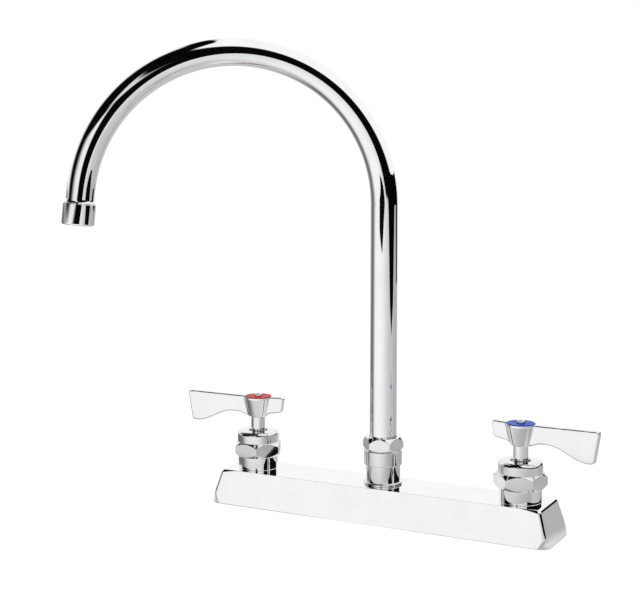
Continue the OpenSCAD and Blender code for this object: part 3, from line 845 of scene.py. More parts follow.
@dataclass
class DeckBody:
    """Hollow cast body with its bosses, pillar, waterways and threaded inlets."""

    top_l: float = 243.6
    top_w: float = 38.5
    height: float = 24.6
    end_draft: float = 7.2
    side_draft: float = 4.4
    corner_top_r: float = 2.8
    corner_foot_r: float = 8.0
    corner_h: float = 11.0
    edge: float = 0.1
    end_edge: float = 2.2
    edge_run: float = 14.0
    foot_edge: float = 0.4
    wall: float = 3.0
    core_r: float = 5.0
    boss_r: float = 14.45
    boss_edge: float = 0.5
    boss_foot: float = 0.5
    pillar_r: float = 12.5
    inlet_r: float = 10.3
    inlet_crest_r: float = 9.45
    inlet_depth: float = 11.0
    seat_z: float = 13.0
    port_r: float = 4.0
    chamber_r: float = 11.4
    post_bore_r: float = 8.9
    passage_r: float = 6.25
    passage_bore_r: float = 4.25
    passage_z: float = 17.5
    thread_pitch: float = 1.814
    thread_turns: float = 5.0
    thread_steps: int = 48
    thread_sides: int = 4
    cut: float = 1.0
    boss_root: float = 1.2
    boss_sink: float = 0.02
    corner_steps: int = 9
    run_steps: int = 7
    edge_steps: int = 7
    foot_steps: int = 10
    boss_top: float = field(default_factory=lambda: top_of("deck_body"))

    def ring(self, z: float, r: float, inset: float = 0.0) -> tuple[np.ndarray, np.ndarray, np.ndarray]:
        """Outline of the casting at a height.

        Args:
            z: The height.
            r: Radius of its upright corners.
            inset: How far it lies inside the casting's outside.

        Returns:
            The outline's points anticlockwise from above, the directions outwards and the top edge's radii.
        """
        lower = 1.0 - z / self.height
        half_x = self.top_l / 2 + self.end_draft * lower - inset - r
        half_y = self.top_w / 2 + self.side_draft * lower - inset - r
        runs = np.linspace(0.0, 1.0, self.run_steps)[1:]
        places, ways, edges = [], [], []
        for k, (sx, sy) in enumerate(((1, 1), (-1, 1), (-1, -1), (1, -1))):
            for angle in np.linspace(k * math.pi / 2, (k + 1) * math.pi / 2, self.corner_steps):
                ways.append((math.cos(angle), math.sin(angle)))
                places.append((half_x * sx + r * ways[-1][0], half_y * sy + r * ways[-1][1]))
                edges.append(self.end_edge)
            if sx != sy:
                continue
            for way, share in [*((1, s) for s in runs), *((-1, s) for s in runs[::-1])]:
                ways.append((0.0, float(sy)))
                places.append((way * sx * (half_x - share * self.edge_run), sy * (half_y + r)))
                edges.append(self.end_edge + (self.edge - self.end_edge) * math.sin(share * math.pi / 2))
        return np.array(places), np.array(ways), np.array(edges)

    def outside(self) -> Skin:
        """Outside of the casting: its corners widen near the foot, its top edge is polished rounder at the ends.

        Returns:
            The closed skin.
        """
        levels = []
        turns = np.linspace(0.0, math.pi / 2, self.edge_steps)
        feet = [(self.foot_edge * (1 - math.cos(t)), self.foot_edge * (1 - math.sin(t))) for t in turns]
        sides = np.linspace(self.foot_edge, self.corner_h, self.foot_steps)[1:]
        for z, inset in feet + [(z, 0.0) for z in sides]:
            widen = (1.0 - z / self.corner_h) ** 2
            flat, ways, _ = self.ring(z, self.corner_top_r + (self.corner_foot_r - self.corner_top_r) * widen)
            levels.append(np.column_stack([flat - ways * inset, np.full(len(flat), z)]))
        low = self.ring(self.corner_h, self.corner_top_r)[0]
        high, ways, edges = self.ring(self.height, self.corner_top_r)
        for t in turns:
            z = self.height - edges * (1 - math.sin(t))
            share = (z - self.corner_h) / (self.height - self.corner_h)
            flat = low + (high - low) * share[:, None] - ways * (edges * (1 - math.cos(t)))[:, None]
            levels.append(np.column_stack([flat, z]))
        return loft(levels)

    def hollow(self) -> Skin:
        """Hollow under the casting.

        Returns:
            The closed skin that is cut from it.
        """
        levels = []
        for z in (-self.cut, self.height - self.wall):
            flat = self.ring(z, self.core_r, self.wall)[0]
            levels.append(np.column_stack([flat, np.full(len(flat), z)]))
        return loft(levels)

    def boss(self) -> Skin:
        """Boss with a cast fillet at its foot.

        Returns:
            The closed skin that is joined to the casting.
        """
        return turned([
            Corner(0, 0), Corner(self.boss_r, 0, EASED), Corner(self.boss_r, self.height - self.boss_root),
            Corner(self.boss_r + self.boss_foot, self.height - self.boss_sink, HAIR),
            Corner(self.boss_r, self.height, self.boss_foot),
            Corner(self.boss_r, self.boss_top, self.boss_edge), Corner(0, self.boss_top),
        ])

    def waterway(self) -> Skin:
        """Inlet, port and chamber of one boss.

        Returns:
            The closed skin that is cut from the boss.
        """
        return turned([
            Corner(0, -self.cut), Corner(self.inlet_r, -self.cut, HAIR),
            Corner(self.inlet_r, self.inlet_depth, SOFT), Corner(self.port_r, self.inlet_depth, EASED),
            Corner(self.port_r, self.seat_z, FINE), Corner(self.chamber_r, self.seat_z, SOFT),
            Corner(self.chamber_r, self.boss_top + self.cut, HAIR), Corner(0, self.boss_top + self.cut),
        ])

    def thread(self, side: Side) -> Thing:
        """Grows the helical thread of one inlet.

        Args:
            side: The inlet's valve.

        Returns:
            The thread's object.
        """
        recipe = Recipe(side.node("inlet_thread"))
        rib = recipe.size("Rib", (self.inlet_r - self.inlet_crest_r) * MM)
        radius = recipe.size("Radius", self.inlet_r * MM)
        climb = recipe.size("Climb", self.thread_turns * self.thread_pitch * MM)
        spiral = recipe.node("GeometryNodeCurveSpiral", None, {
            "Resolution": self.thread_steps, "Rotations": self.thread_turns,
            "Start Radius": radius, "End Radius": radius, "Height": climb,
        })
        level = recipe.node("GeometryNodeSetCurveNormal", {"mode": "Z_UP"}, {0: spiral.outputs[0]})
        ribs = recipe.sweep(level.outputs[0], rib, self.thread_sides)
        place = {"Geometry": ribs, "Translation": (side.axis_x * MM, 0.0, self.thread_pitch * MM / 2)}
        moved = recipe.node("GeometryNodeTransform", None, place)
        return recipe.grow(side.node("inlet_thread"), moved.outputs[0], BARE_BRASS)

    def build(self) -> list[Piece]:
        """Builds the casting and its inlet threads.

        Returns:
            The pieces.
        """
        lying = shifted(0, 0, self.passage_z) @ Matrix.Rotation(math.pi / 2, 4, "Y")
        reach = abs(Side.HOT.axis_x)
        places = [shifted(side.axis_x) for side in Side]
        body = self.outside().thing("deck_casting", CAST_CHROME)
        body.data.materials.append(BARE_BRASS.material())
        carve(body, CAST_CHROME, [
            ("DIFFERENCE", self.hollow(), BARE_BRASS),
            ("UNION", rod(self.pillar_r, 0, self.height - self.wall / 2), BARE_BRASS),
            ("UNION", rod(self.passage_r, -reach, reach).placed(lying), BARE_BRASS),
            *(("UNION", self.boss().placed(place), None) for place in places),
            *(("DIFFERENCE", self.waterway().placed(place), BARE_BRASS) for place in places),
            ("DIFFERENCE", rod(self.post_bore_r, self.seat_z, self.height + self.cut), BARE_BRASS),
            ("DIFFERENCE", rod(self.passage_bore_r, -reach, reach).placed(lying), BARE_BRASS),
        ])
        pieces = [Piece(body, "deck", CAST_CHROME, ("deck_body",))]
        return pieces + [Piece(self.thread(side), "deck", BARE_BRASS) for side in Side]


@dataclass
class Bonnet:
    """Bonnet of one valve: its shank, hexagon and round cap."""

    side: Side
    flats: float = 31.75
    chamfer_r: float = 15.575
    crown: float = 0.9
    hex_foot: float = field(default_factory=lambda: top_of("deck_body"))
    hex_h: float = 10.2
    cap_r: float = 15.1
    shoulder: float = 3.0
    shank_r: float = 11.3
    groove_r: float = 9.95
    groove_z: float = 30.0
    groove_w: float = 1.8
    stem_bore_r: float = 5.15
    well_r: float = 6.9
    well_depth: float = 1.6
    well_edge: float = 0.25
    cage_bore_r: float = 9.3
    cage_grip: float = 2.0

    @property
    def hexagon(self) -> Hexagon:
        """Hexagon under the cap."""
        return Hexagon(self.flats, self.side.bonnet_turn, self.chamfer_r, self.crown)

    def section(self, angle: float) -> Section:
        """Closed section of the bonnet at an angle.

        Args:
            angle: Direction about the valve's axis, in radians.

        Returns:
            The section's corners.
        """
        top, foot = top_of(self.side.node("bonnet")), foot_of(self.side.node("bonnet"))
        hex_top = self.hex_foot + self.hex_h
        groove_top = self.groove_z + self.groove_w
        well, cage = top - self.well_depth, foot + self.cage_grip
        return [
            Corner(self.shank_r, foot, EASED), Corner(self.shank_r, self.groove_z),
            Corner(self.groove_r, self.groove_z), Corner(self.groove_r, groove_top),
            Corner(self.shank_r, groove_top), Corner(self.shank_r, self.hex_foot),
            *self.hexagon.corners(angle, self.hex_foot, hex_top),
            Corner(self.cap_r, hex_top, CRISP), Corner(self.cap_r, top, self.shoulder),
            Corner(self.well_r, top, self.well_edge), Corner(self.well_r, well, CRISP),
            Corner(self.stem_bore_r, well), Corner(self.stem_bore_r, cage),
            Corner(self.cage_bore_r, cage), Corner(self.cage_bore_r, foot, FINE),
        ]

    def build(self) -> list[Piece]:
        """Builds the bonnet.

        Returns:
            The bonnet alone.
        """
        skin = revolve(self.section, self.hexagon.angles()).placed(shifted(self.side.axis_x))
        name, node = self.side.node("bonnet_turned"), self.side.node("bonnet")
        return [Piece.of(skin, name, "deck", TURNED_CHROME, node)]


# How cast_skin measures slopes and pulls its points onto the surface.
PROBE_SHARE = 0.05
PULLS = 3
LEAST_SLOPE = 0.2
MARGIN_CELLS = 2


def outline_distance(points: np.ndarray, outline: np.ndarray) -> np.ndarray:
    """Signed distance from points to a closed outline, negative inside.

    Args:
        points: Points of the plane, one row each.
        outline: The outline's corners in order.

    Returns:
        One distance for each point.
    """
    points, again = np.unique(points, axis=0, return_inverse=True)
    nearest = np.full(len(points), np.inf)
    inside = np.zeros(len(points), bool)
    for a, b in zip(outline, np.roll(outline, -1, axis=0)):
        edge, off = b - a, points - a
        share = np.clip(off @ edge / (edge @ edge), 0.0, 1.0)
        nearest = np.minimum(nearest, ((off - share[:, None] * edge) ** 2).sum(1))
        crosses = (points[:, 1] >= a[1]) != (points[:, 1] >= b[1])
        across, along = off[:, 0] * edge[1], off[:, 1] * edge[0]
        inside ^= crosses & (across < along if edge[1] > 0 else across > along)
    return (np.where(inside, -1.0, 1.0) * np.sqrt(nearest))[again.ravel()]


def cast_skin(
    distance: Callable[[np.ndarray], np.ndarray], low: Sequence[float], high: Sequence[float], cell: float
) -> Skin:
    """Skins a shape that is given by its signed distance, with one point in each cell that it crosses.

    Args:
        distance: Signed distance of points, negative inside.
        low: Lowest corner of a box round the shape.
        high: Highest corner of that box.
        cell: Size of the cells.

    Returns:
        The closed skin, with its points on the surface.
    """
    start = np.array(low) - MARGIN_CELLS * cell
    counts = np.ceil((np.array(high) - start) / cell).astype(int) + MARGIN_CELLS + 1
    lattice = np.stack(np.meshgrid(*[np.arange(n) for n in counts], indexing="ij"), -1)
    inside = (distance(lattice.reshape(-1, 3) * cell + start) < 0).reshape(counts)
    filled = sum(
        inside[i:counts[0] - 1 + i, j:counts[1] - 1 + j, k:counts[2] - 1 + k].astype(int)
        for i in (0, 1) for j in (0, 1) for k in (0, 1)
    )
    crossed = (filled > 0) & (filled < 8)
    number = np.full(crossed.shape, -1)
    number[crossed] = np.arange(crossed.sum())
    points = (np.argwhere(crossed) + 0.5) * cell + start
    steps = np.eye(3) * cell * PROBE_SHARE
    for _ in range(PULLS):
        slope = np.stack([distance(points + s) - distance(points - s) for s in steps], -1) / (2 * steps[0, 0])
        points -= (distance(points) / np.maximum((slope**2).sum(1), LEAST_SLOPE))[:, None] * slope
    faces = []
    for axis in range(3):
        ahead = np.roll(inside, -1, axis)
        u, v = np.eye(3, dtype=int)[(axis + 1) % 3], np.eye(3, dtype=int)[(axis + 2) % 3]
        for edge in np.argwhere(inside != ahead):
            ring = [number[tuple(edge - back)] for back in (u + v, v, 0 * u, u)]
            faces.append(tuple(ring if inside[tuple(edge)] else ring[::-1]))
    return Skin(points, faces)


@dataclass
class LeverHandle:
    """Lever of one valve with its hub, blade and stub, its index ring and its screw."""

    side: Side
    hub_foot_r: float = 6.7
    hub_r: float = 10.0
    hub_edge: float = 0.5
    rim_h: float = 1.3
    rim_edge: float = 0.08
    rim_blend: float = 1.5
    rim_over: float = 0.6
    hub_h: float = 14.3
    stem_r: float = 5.1
    blade_t: float = 5.0
    blade_edge: float = 0.8
    blend: float = 1.4
    reach: float = 56.5
    rise: float = 1.3
    tip_h: float = 22.0
    tip_lean: float = 3.8
    tip_top_r: float = 2.0
    tip_foot_r: float = 3.5
    belly_l: float = 4.0
    waist_h: float = 11.8
    waist_out: float = 20.0
    waist_in: float = 16.5
    stub_reach: float = 20.8
    stub_h: float = 11.0
    stub_lean: float = 1.6
    stub_r: float = 1.8
    stub_root_r: float = 1.0
    ridge_r: float = 0.01
    outline_steps: int = 8
    forward: float = 6.0
    seat_r: float = 9.8
    ring_r: float = 9.7
    ring_bore_r: float = 2.9
    ring_dish: float = 0.25
    socket_w: float = 6.89
    socket_top: float = 74.2
    socket_run: float = 2.0
    clear: float = 4.0
    screw_r: float = 2.0
    screw_play: float = 0.1
    head_r: float = 2.8
    head_edge: float = 0.7
    slot_w: float = 0.8
    slot_depth: float = 1.2
    slot_run: float = 1.0
    cell: float = 0.45
    margin: float = 1.0
    droop: float = 8.0
    hub_inset: float = 0.04

    @property
    def seat_z(self) -> float:
        """Height of the index ring's seat."""
        return foot_of(self.side.node("index_ring"))

    @property
    def hub_z(self) -> float:
        """Height of the hub's foot."""
        return self.hub_top - self.hub_h

    @property
    def hub_top(self) -> float:
        """Height of the hub's rim."""
        return self.seat_z + self.rim_over

    def outline(self) -> np.ndarray:
        """Outline of the blade and the stub, seen from the front.

        Returns:
            The outline's points, with the valve's axis at zero.
        """
        tip = Corner(self.reach, self.hub_top + self.rise, self.tip_top_r)
        foot = Corner(tip.r - self.tip_lean, tip.z - self.tip_h, self.tip_foot_r)
        belly = Corner(foot.r - self.belly_l, foot.z)
        waist = Corner(self.waist_out, self.hub_top - self.waist_h)
        root = Corner(self.waist_in, waist.z)
        stub = Corner(-self.stub_reach, self.hub_top + self.rise / 2, self.stub_r)
        stub_foot = Corner(stub.r + self.stub_lean, stub.z - self.stub_h, self.stub_r)
        corners = [
            Corner(NUDGE, self.hub_top, self.ridge_r), stub, stub_foot,
            Corner(-self.hub_r, waist.z, self.stub_root_r), Corner(-self.stem_r, self.hub_z, self.hub_edge),
            *self.eased(Corner(self.stem_r, self.hub_z), root), *self.eased(waist, belly), foot, tip,
        ]
        return rounded_section(corners, self.outline_steps)[:, :2]

    @staticmethod
    def eased(start: Corner, end: Corner, count: int = 14) -> list[Corner]:
        """Makes a smooth step that is level at both ends.

        Args:
            start: Where it starts.
            end: Where it ends.
            count: How many corners it has.

        Returns:
            Its corners, with no rounding of their own.
        """
        made = []
        for share in np.linspace(0.0, 1.0, count):
            climb = (1 - math.cos(math.pi * share)) / 2
            made.append(Corner(start.r + (end.r - start.r) * share, start.z + (end.z - start.z) * climb, 0))
        return made

    def hub(self) -> Skin:
        """Plain hub.

        Returns:
            Its closed skin.
        """
        return turned([
            Corner(0, self.hub_z), Corner(self.hub_foot_r, self.hub_z, self.hub_edge),
            Corner(self.hub_r, self.hub_top - self.rim_h, self.rim_blend),
            Corner(self.hub_r, self.hub_top, self.rim_edge), Corner(0, self.hub_top),
        ], 2 * COLUMNS)

    def wings(self) -> Skin:
        """Blade and stub, with fillets where they run into the hub.

        Returns:
            Their closed skin, which lies just inside the hub.
        """
        outline = self.outline()
        inset = self.hub_inset
        half = np.array([
            [self.hub_foot_r - inset, self.hub_z + inset], [self.hub_r - inset, self.hub_top - self.rim_h],
            [self.hub_r - inset, self.seat_z - inset],
        ])
        core = np.concatenate([half, half[::-1] * [-1, 1]])

        def distance(points: np.ndarray) -> np.ndarray:
            """Signed distance of the blade and stub, blended into the hub.

            Args:
                points: Points about the valve's axis, one row each.

            Returns:
                One distance for each point, negative inside.
            """
            flat = outline_distance(points[:, [0, 2]], outline) + self.blade_edge
            deep = np.abs(points[:, 1]) - self.blade_t / 2 + self.blade_edge
            plate = np.minimum(np.maximum(flat, deep), 0) - self.blade_edge
            plate += np.hypot(np.maximum(flat, 0), np.maximum(deep, 0))
            hub = outline_distance(np.stack([np.hypot(points[:, 0], points[:, 1]), points[:, 2]], -1), core)
            near = np.maximum(self.blend - np.abs(plate - hub), 0) / self.blend
            return np.minimum(plate, hub) - near**2 * self.blend / 4

        low = (-self.stub_reach - self.margin, -self.hub_r - self.margin, self.hub_z - self.droop)
        high = (self.reach + self.margin, self.hub_r + self.margin, self.hub_top + self.rise + self.margin)
        return cast_skin(distance, low, high, self.cell)

    def lever(self) -> Piece:
        """Joins the hub with its wings and cuts the seat, the socket and the screw's hole.

        Returns:
            The lever.
        """
        axis = shifted(self.side.axis_x)
        place = axis @ upright(self.side.facing(self.forward))
        above, half = self.hub_top + self.clear, self.socket_w / 2
        seat = rod(self.seat_r, self.seat_z, above, KEEN)
        socket = block((-half, -half, self.hub_z - self.socket_run), (half, half, self.socket_top), EASED)
        hole = rod(self.screw_r + self.screw_play, self.hub_z, above, KEEN)
        thing = self.hub().bare().placed(place).thing(self.side.node("lever_cast"), LEVER_CHROME)
        carve(thing, LEVER_CHROME, [
            ("UNION", self.wings().placed(place), None),
            *(("DIFFERENCE", tool.placed(axis), None) for tool in (seat, socket, hole)),
        ])
        return Piece(thing, self.side.body, LEVER_CHROME, (self.side.node("lever"),))

    def index_ring(self) -> Piece:
        """Turns the dished index ring.

        Returns:
            The ring.
        """
        node = self.side.node("index_ring")
        top = top_of(node)
        skin = turned([
            Corner(self.ring_r, self.seat_z), Corner(self.ring_r, top, SOFT),
            Corner(self.ring_bore_r, top - self.ring_dish), Corner(self.ring_bore_r, self.seat_z),
        ])
        skin = skin.placed(shifted(self.side.axis_x))
        return Piece.of(skin, f"{node}_dished", self.side.body, self.side.index, node)

    def screw(self) -> Piece:
        """Turns the domed handle screw and cuts its cross slot.

        Returns:
            The screw.
        """
        node = self.side.node("handle_screw")
        top, foot = top_of(node), foot_of(node)
        place = shifted(self.side.axis_x)
        skin = turned([
            Corner(0, foot), Corner(self.screw_r, foot, SOFT), Corner(self.screw_r, self.seat_z),
            Corner(self.head_r, self.seat_z), Corner(self.head_r, top, self.head_edge), Corner(0, top),
        ])
        thing = skin.bare().placed(place).thing(f"{node}_domed", TURNED_CHROME)
        half_l, half_w = self.head_r / 2, self.slot_w / 2
        bar = block((-half_l, -half_w, top - self.slot_depth), (half_l, half_w, top + self.slot_run), 0.0)
        carve(thing, TURNED_CHROME, [
            ("DIFFERENCE", bar.placed(place @ upright(turn)), None) for turn in (0.0, 90.0)
        ])
        return Piece(thing, self.side.body, TURNED_CHROME, (node,))

    def build(self) -> list[Piece]:
        """Builds the lever, its ring and its screw."""
        return [self.lever(), self.index_ring(), self.screw()]


@dataclass
class SpoutMount:
    """Post on the deck body and the nut that keeps the spout on it."""

    deck_z: float = 24.6
    flange_r: float = 13.7
    flange_t: float = 1.5
    flange_foot: float = 0.25
    flange_edge: float = 0.5
    post_root: float = 0.35
    post_r: float = 12.15
    post_h: float = 12.2
    thread_r: float = 11.5
    shank_r: float = 8.8
    seal_r: float = 10.6
    seal_t: float = 0.75
    bore_r: float = 6.0
    spigot_r: float = 8.0
    spigot_l: float = 19.0
    spigot_play: float = 1.0
    skirt_r: float = 13.45
    skirt_h: float = 10.0
    hexagon: Hexagon = Hexagon(
        flats=25.4, turn=13.0, chamfer_r=12.4, crown=1.0, top_slope=1.65, foot_edge=KEEN, top_edge=FINE
    )
    nut_bore_r: float = 11.6
    nut_web: float = 3.3
    tube_hole_r: float = 9.825

    def post(self) -> Piece:
        """Turns the flanged post.

        Returns:
            The post.
        """
        top, foot = top_of("spout_post"), foot_of("spout_post")
        seal = self.deck_z + self.seal_t
        flange = self.deck_z + self.flange_t
        shoulder = flange + self.post_h
        spigot = top - self.spigot_l - self.spigot_play
        skin = turned([
            Corner(self.shank_r, foot, EASED), Corner(self.shank_r, seal),
            Corner(self.seal_r, seal), Corner(self.seal_r, self.deck_z),
            Corner(self.flange_r, self.deck_z, self.flange_foot), Corner(self.flange_r, flange, self.flange_edge),
            Corner(self.post_r, flange, self.post_root), Corner(self.post_r, shoulder, EASED),
            Corner(self.thread_r, shoulder), Corner(self.thread_r, top, SOFT),
            Corner(self.spigot_r, top, EASED), Corner(self.spigot_r, spigot),
            Corner(self.bore_r, spigot), Corner(self.bore_r, foot, FINE),
        ])
        return Piece.of(skin, "spout_post_turned", "deck", TURNED_CHROME, "spout_post")

    def nut(self) -> Piece:
        """Turns the nut, with a round skirt under its hexagon.

        Returns:
            The nut.
        """
        top, foot = top_of("spout_nut"), foot_of("spout_nut")
        hex_foot, seat = foot + self.skirt_h, top - self.nut_web

        def section(angle: float) -> Section:
            """Closed section of the nut at an angle.

            Args:
                angle: Direction about the post's axis, in radians.

            Returns:
                The section's corners.
            """
            return [
                Corner(self.nut_bore_r, foot, FINE), Corner(self.skirt_r, foot, SOFT),
                Corner(self.skirt_r, hex_foot, EASED), *self.hexagon.corners(angle, hex_foot, top),
                Corner(self.tube_hole_r, top, EASED), Corner(self.tube_hole_r, seat),
                Corner(self.nut_bore_r, seat, FINE),
            ]

        skin = revolve(section, self.hexagon.angles())
        return Piece.of(skin, "spout_nut_turned", "deck", TURNED_CHROME, "spout_nut")

    def build(self) -> list[Piece]:
        """Builds the post and the nut."""
        return [self.post(), self.nut()]


@dataclass
class Gooseneck:
    """Bent tube of the spout and what is on its outlet."""

    tube_r: float = 9.525
    tube_wall: float = 1.0
    tube_sides: int = 80
    tube_steps: int = 240
    foot: float = field(default_factory=lambda: foot_of("gooseneck"))
    arch_z: float = 221.48
    arch_r: float = 105.0
    bend: float = 174.5
    spout_turn: float = 219.0
    tail: float = 4.2
    flare_h: float = 3.0
    flare_r: float = 10.525
    flare_start: float = 0.12
    flare_end: float = 0.05
    flare_steps: int = 9
    slip: float = 0.01
    rim_t: float = 0.5
    thread_r: float = 10.075
    thread_l: float = 7.3
    tube_grip: float = 4.5
    housing_r: float = 11.075
    housing_bore_r: float = 10.175
    housing_h: float = 14.4
    housing_edge: float = 1.4
    lip_r: float = 8.675
    lip_h: float = 1.4
    screen_r: float = 8.775
    screen_t: float = 0.4
    screen_rise: float = 4.2
    wire_r: float = 0.09
    wire_sides: int = 6
    wire_waves: int = 3
    wires: int = 19

    @property
    def lean(self) -> float:
        """Lean of the outlet from upright, in radians."""
        return math.radians(180.0 - self.bend)

    @property
    def rim_z(self) -> float:
        """Height of the flare's rim in the outlet's frame."""
        return -self.tail - self.flare_h - self.rim_t

    @property
    def outlet(self) -> Matrix:
        """Frame at the end of the bend, with the water going down.

        Returns:
            The matrix, whose shift is in millimetres.
        """
        out = self.arch_r * (1 + math.cos(self.lean))
        up = self.arch_r * math.sin(self.lean)
        turn = upright(self.spout_turn)
        return shifted(0, 0, self.arch_z) @ turn @ shifted(out, 0, up) @ Matrix.Rotation(-self.lean, 4, "Y")

    def tube(self) -> Piece:
        """Sweeps the tube along its riser, its bend and its tail.

        Returns:
            The tube.
        """
        recipe = Recipe("gooseneck_tube")
        rise = recipe.size("Riser", (self.arch_z - self.foot) * MM)
        foot = recipe.size("Foot", self.foot * MM)
        arch = recipe.size("Arch radius", self.arch_r * MM)
        bend = recipe.size("Bend", math.radians(self.bend))
        tail = recipe.size("Tail", (self.tube_grip - self.rim_z) * MM)
        turn = recipe.size("Spout turn", math.radians(self.spout_turn))
        radius = recipe.size("Tube radius", self.tube_r * MM)
        line = recipe.node("GeometryNodeCurvePrimitiveLine")
        fine = recipe.node("GeometryNodeResampleCurve", None, {"Curve": line.outputs[0], "Count": self.tube_steps})
        share = recipe.value("GeometryNodeSplineParameter")
        gone = share * (rise + arch * bend + tail)
        angle = ((gone - rise) / arch).most(0.0).least(bend)
        beyond = (gone - rise - arch * bend).most(0.0)
        sine, cosine = angle.math("SINE"), angle.math("COSINE")
        out = (1.0 - cosine) * arch + beyond * sine
        up = foot + gone.least(rise) + arch * sine + beyond * cosine
        spot = recipe.point(out * turn.math("COSINE"), out * turn.math("SINE"), up)
        path = recipe.node("GeometryNodeSetPosition", None, {"Geometry": fine.outputs[0], "Position": spot})
        tube = recipe.sweep(path.outputs[0], radius, self.tube_sides, caps=False)
        thing = recipe.grow("gooseneck_tube", tube, TUBE_CHROME)
        wall = thing.modifiers.new("wall", "SOLIDIFY")
        wall.thickness = self.tube_wall * MM
        wall.offset = -1.0
        return Piece(thing, "spout", TUBE_CHROME, ("gooseneck",))

    def fitting(self) -> Piece:
        """Turns the flared sleeve on the end of the tube.

        Returns:
            The sleeve.
        """
        flare_top, rim_top = -self.tail, -self.tail - self.flare_h
        thread_end, grip_end = self.rim_z - self.thread_l, self.rim_z - self.tube_grip
        bore_r = self.tube_r - self.tube_wall
        step = self.flare_r - self.tube_r
        curve = [
            Corner(self.flare_r - step * math.sin(a), rim_top + self.flare_h * (1 - math.cos(a)), FINE)
            for a in np.linspace(self.flare_start, math.pi / 2 - self.flare_end, self.flare_steps)
        ]
        skin = turned([
            Corner(bore_r, thread_end, FINE), Corner(self.thread_r, thread_end, EASED),
            Corner(self.thread_r, self.rim_z), Corner(self.flare_r, self.rim_z), Corner(self.flare_r, rim_top),
            *curve, Corner(self.tube_r + 2 * self.slip, flare_top, self.slip),
            Corner(self.tube_r + self.slip, grip_end, self.slip), Corner(bore_r, grip_end),
        ])
        return Piece.of(skin.placed(self.outlet), "outlet_flare", "spout", TUBE_CHROME, "outlet_fitting")

    def housing(self) -> Piece:
        """Turns the housing of the aerator, with a rounded lower edge and a lip.

        Returns:
            The housing.
        """
        end = self.rim_z - self.housing_h
        skin = turned([
            Corner(self.lip_r, end, EASED), Corner(self.housing_r, end, self.housing_edge),
            Corner(self.housing_r, self.rim_z, EASED), Corner(self.housing_bore_r, self.rim_z, CRISP),
            Corner(self.housing_bore_r, end + self.lip_h, FINE), Corner(self.lip_r, end + self.lip_h, FINE),
        ])
        return Piece.of(skin.placed(self.outlet), "aerator_collar", "spout", TUBE_CHROME, "aerator_housing")

    def screens(self) -> Piece:
        """Weaves the two wire screens of the aerator.

        Returns:
            Both screens as one piece.
        """
        recipe = Recipe("aerator_weave")
        round_r = recipe.size("Screen radius", (self.screen_r - self.wire_r) * MM)
        wire = recipe.size("Wire radius", self.wire_r * MM)
        gap = 2 * self.screen_r / (self.wires + 1)
        pitch = recipe.size("Wire spacing", gap * MM)
        ends = {"Start": (-1.0, 0.0, 0.0), "End": (1.0, 0.0, 0.0)}
        line = recipe.node("GeometryNodeCurvePrimitiveLine", None, ends)
        count = self.wire_waves * self.wires
        fine = recipe.node("GeometryNodeResampleCurve", None, {"Curve": line.outputs[0], "Count": count})
        row = recipe.node("GeometryNodeMeshLine", None, {
            "Count": self.wires, "Start Location": (0.0, -gap * (self.wires - 1) / 2 * MM, 0.0),
            "Offset": (0.0, gap * MM, 0.0),
        })
        laid = recipe.node(
            "GeometryNodeInstanceOnPoints", None, {"Points": row.outputs[0], "Instance": fine.outputs[0]}
        )
        loose = recipe.node("GeometryNodeRealizeInstances", None, {0: laid.outputs[0]})
        x, y, _ = recipe.parts(recipe.node("GeometryNodeInputPosition").outputs[0])
        across = x * (round_r * round_r - y * y).most(0.0).math("SQRT")
        wave = ((across / pitch + y / pitch) * math.pi).math("COSINE") * wire
        weave = recipe.node("GeometryNodeJoinGeometry")
        for spot in ((across, y, wave), (y, across, -wave)):
            place = {"Geometry": loose.outputs[0], "Position": recipe.point(*spot)}
            bent = recipe.node("GeometryNodeSetPosition", None, place)
            recipe.tree.links.new(recipe.sweep(bent.outputs[0], wire, self.wire_sides), weave.inputs[0])
        end = self.rim_z - self.housing_h + self.lip_h
        both = recipe.node("GeometryNodeJoinGeometry")
        for height in (end + self.screen_t / 2, end + self.screen_rise - self.screen_t / 2):
            place = self.outlet @ shifted(0, 0, height)
            moved = recipe.node("GeometryNodeTransform", None, {
                "Geometry": weave.outputs[0], "Translation": place.translation * MM, "Rotation": place.to_euler()
            })
            recipe.tree.links.new(moved.outputs[0], both.inputs[0])
        thing = recipe.grow("aerator_weave", both.outputs[0], SPRING_STEEL)
        return Piece(thing, "spout", SPRING_STEEL, ("aerator_screens",))

    def build(self) -> list[Piece]:
        """Builds the tube, its flare, its collar and its screens."""
        return [self.tube(), self.fitting(), self.housing(), self.screens()]


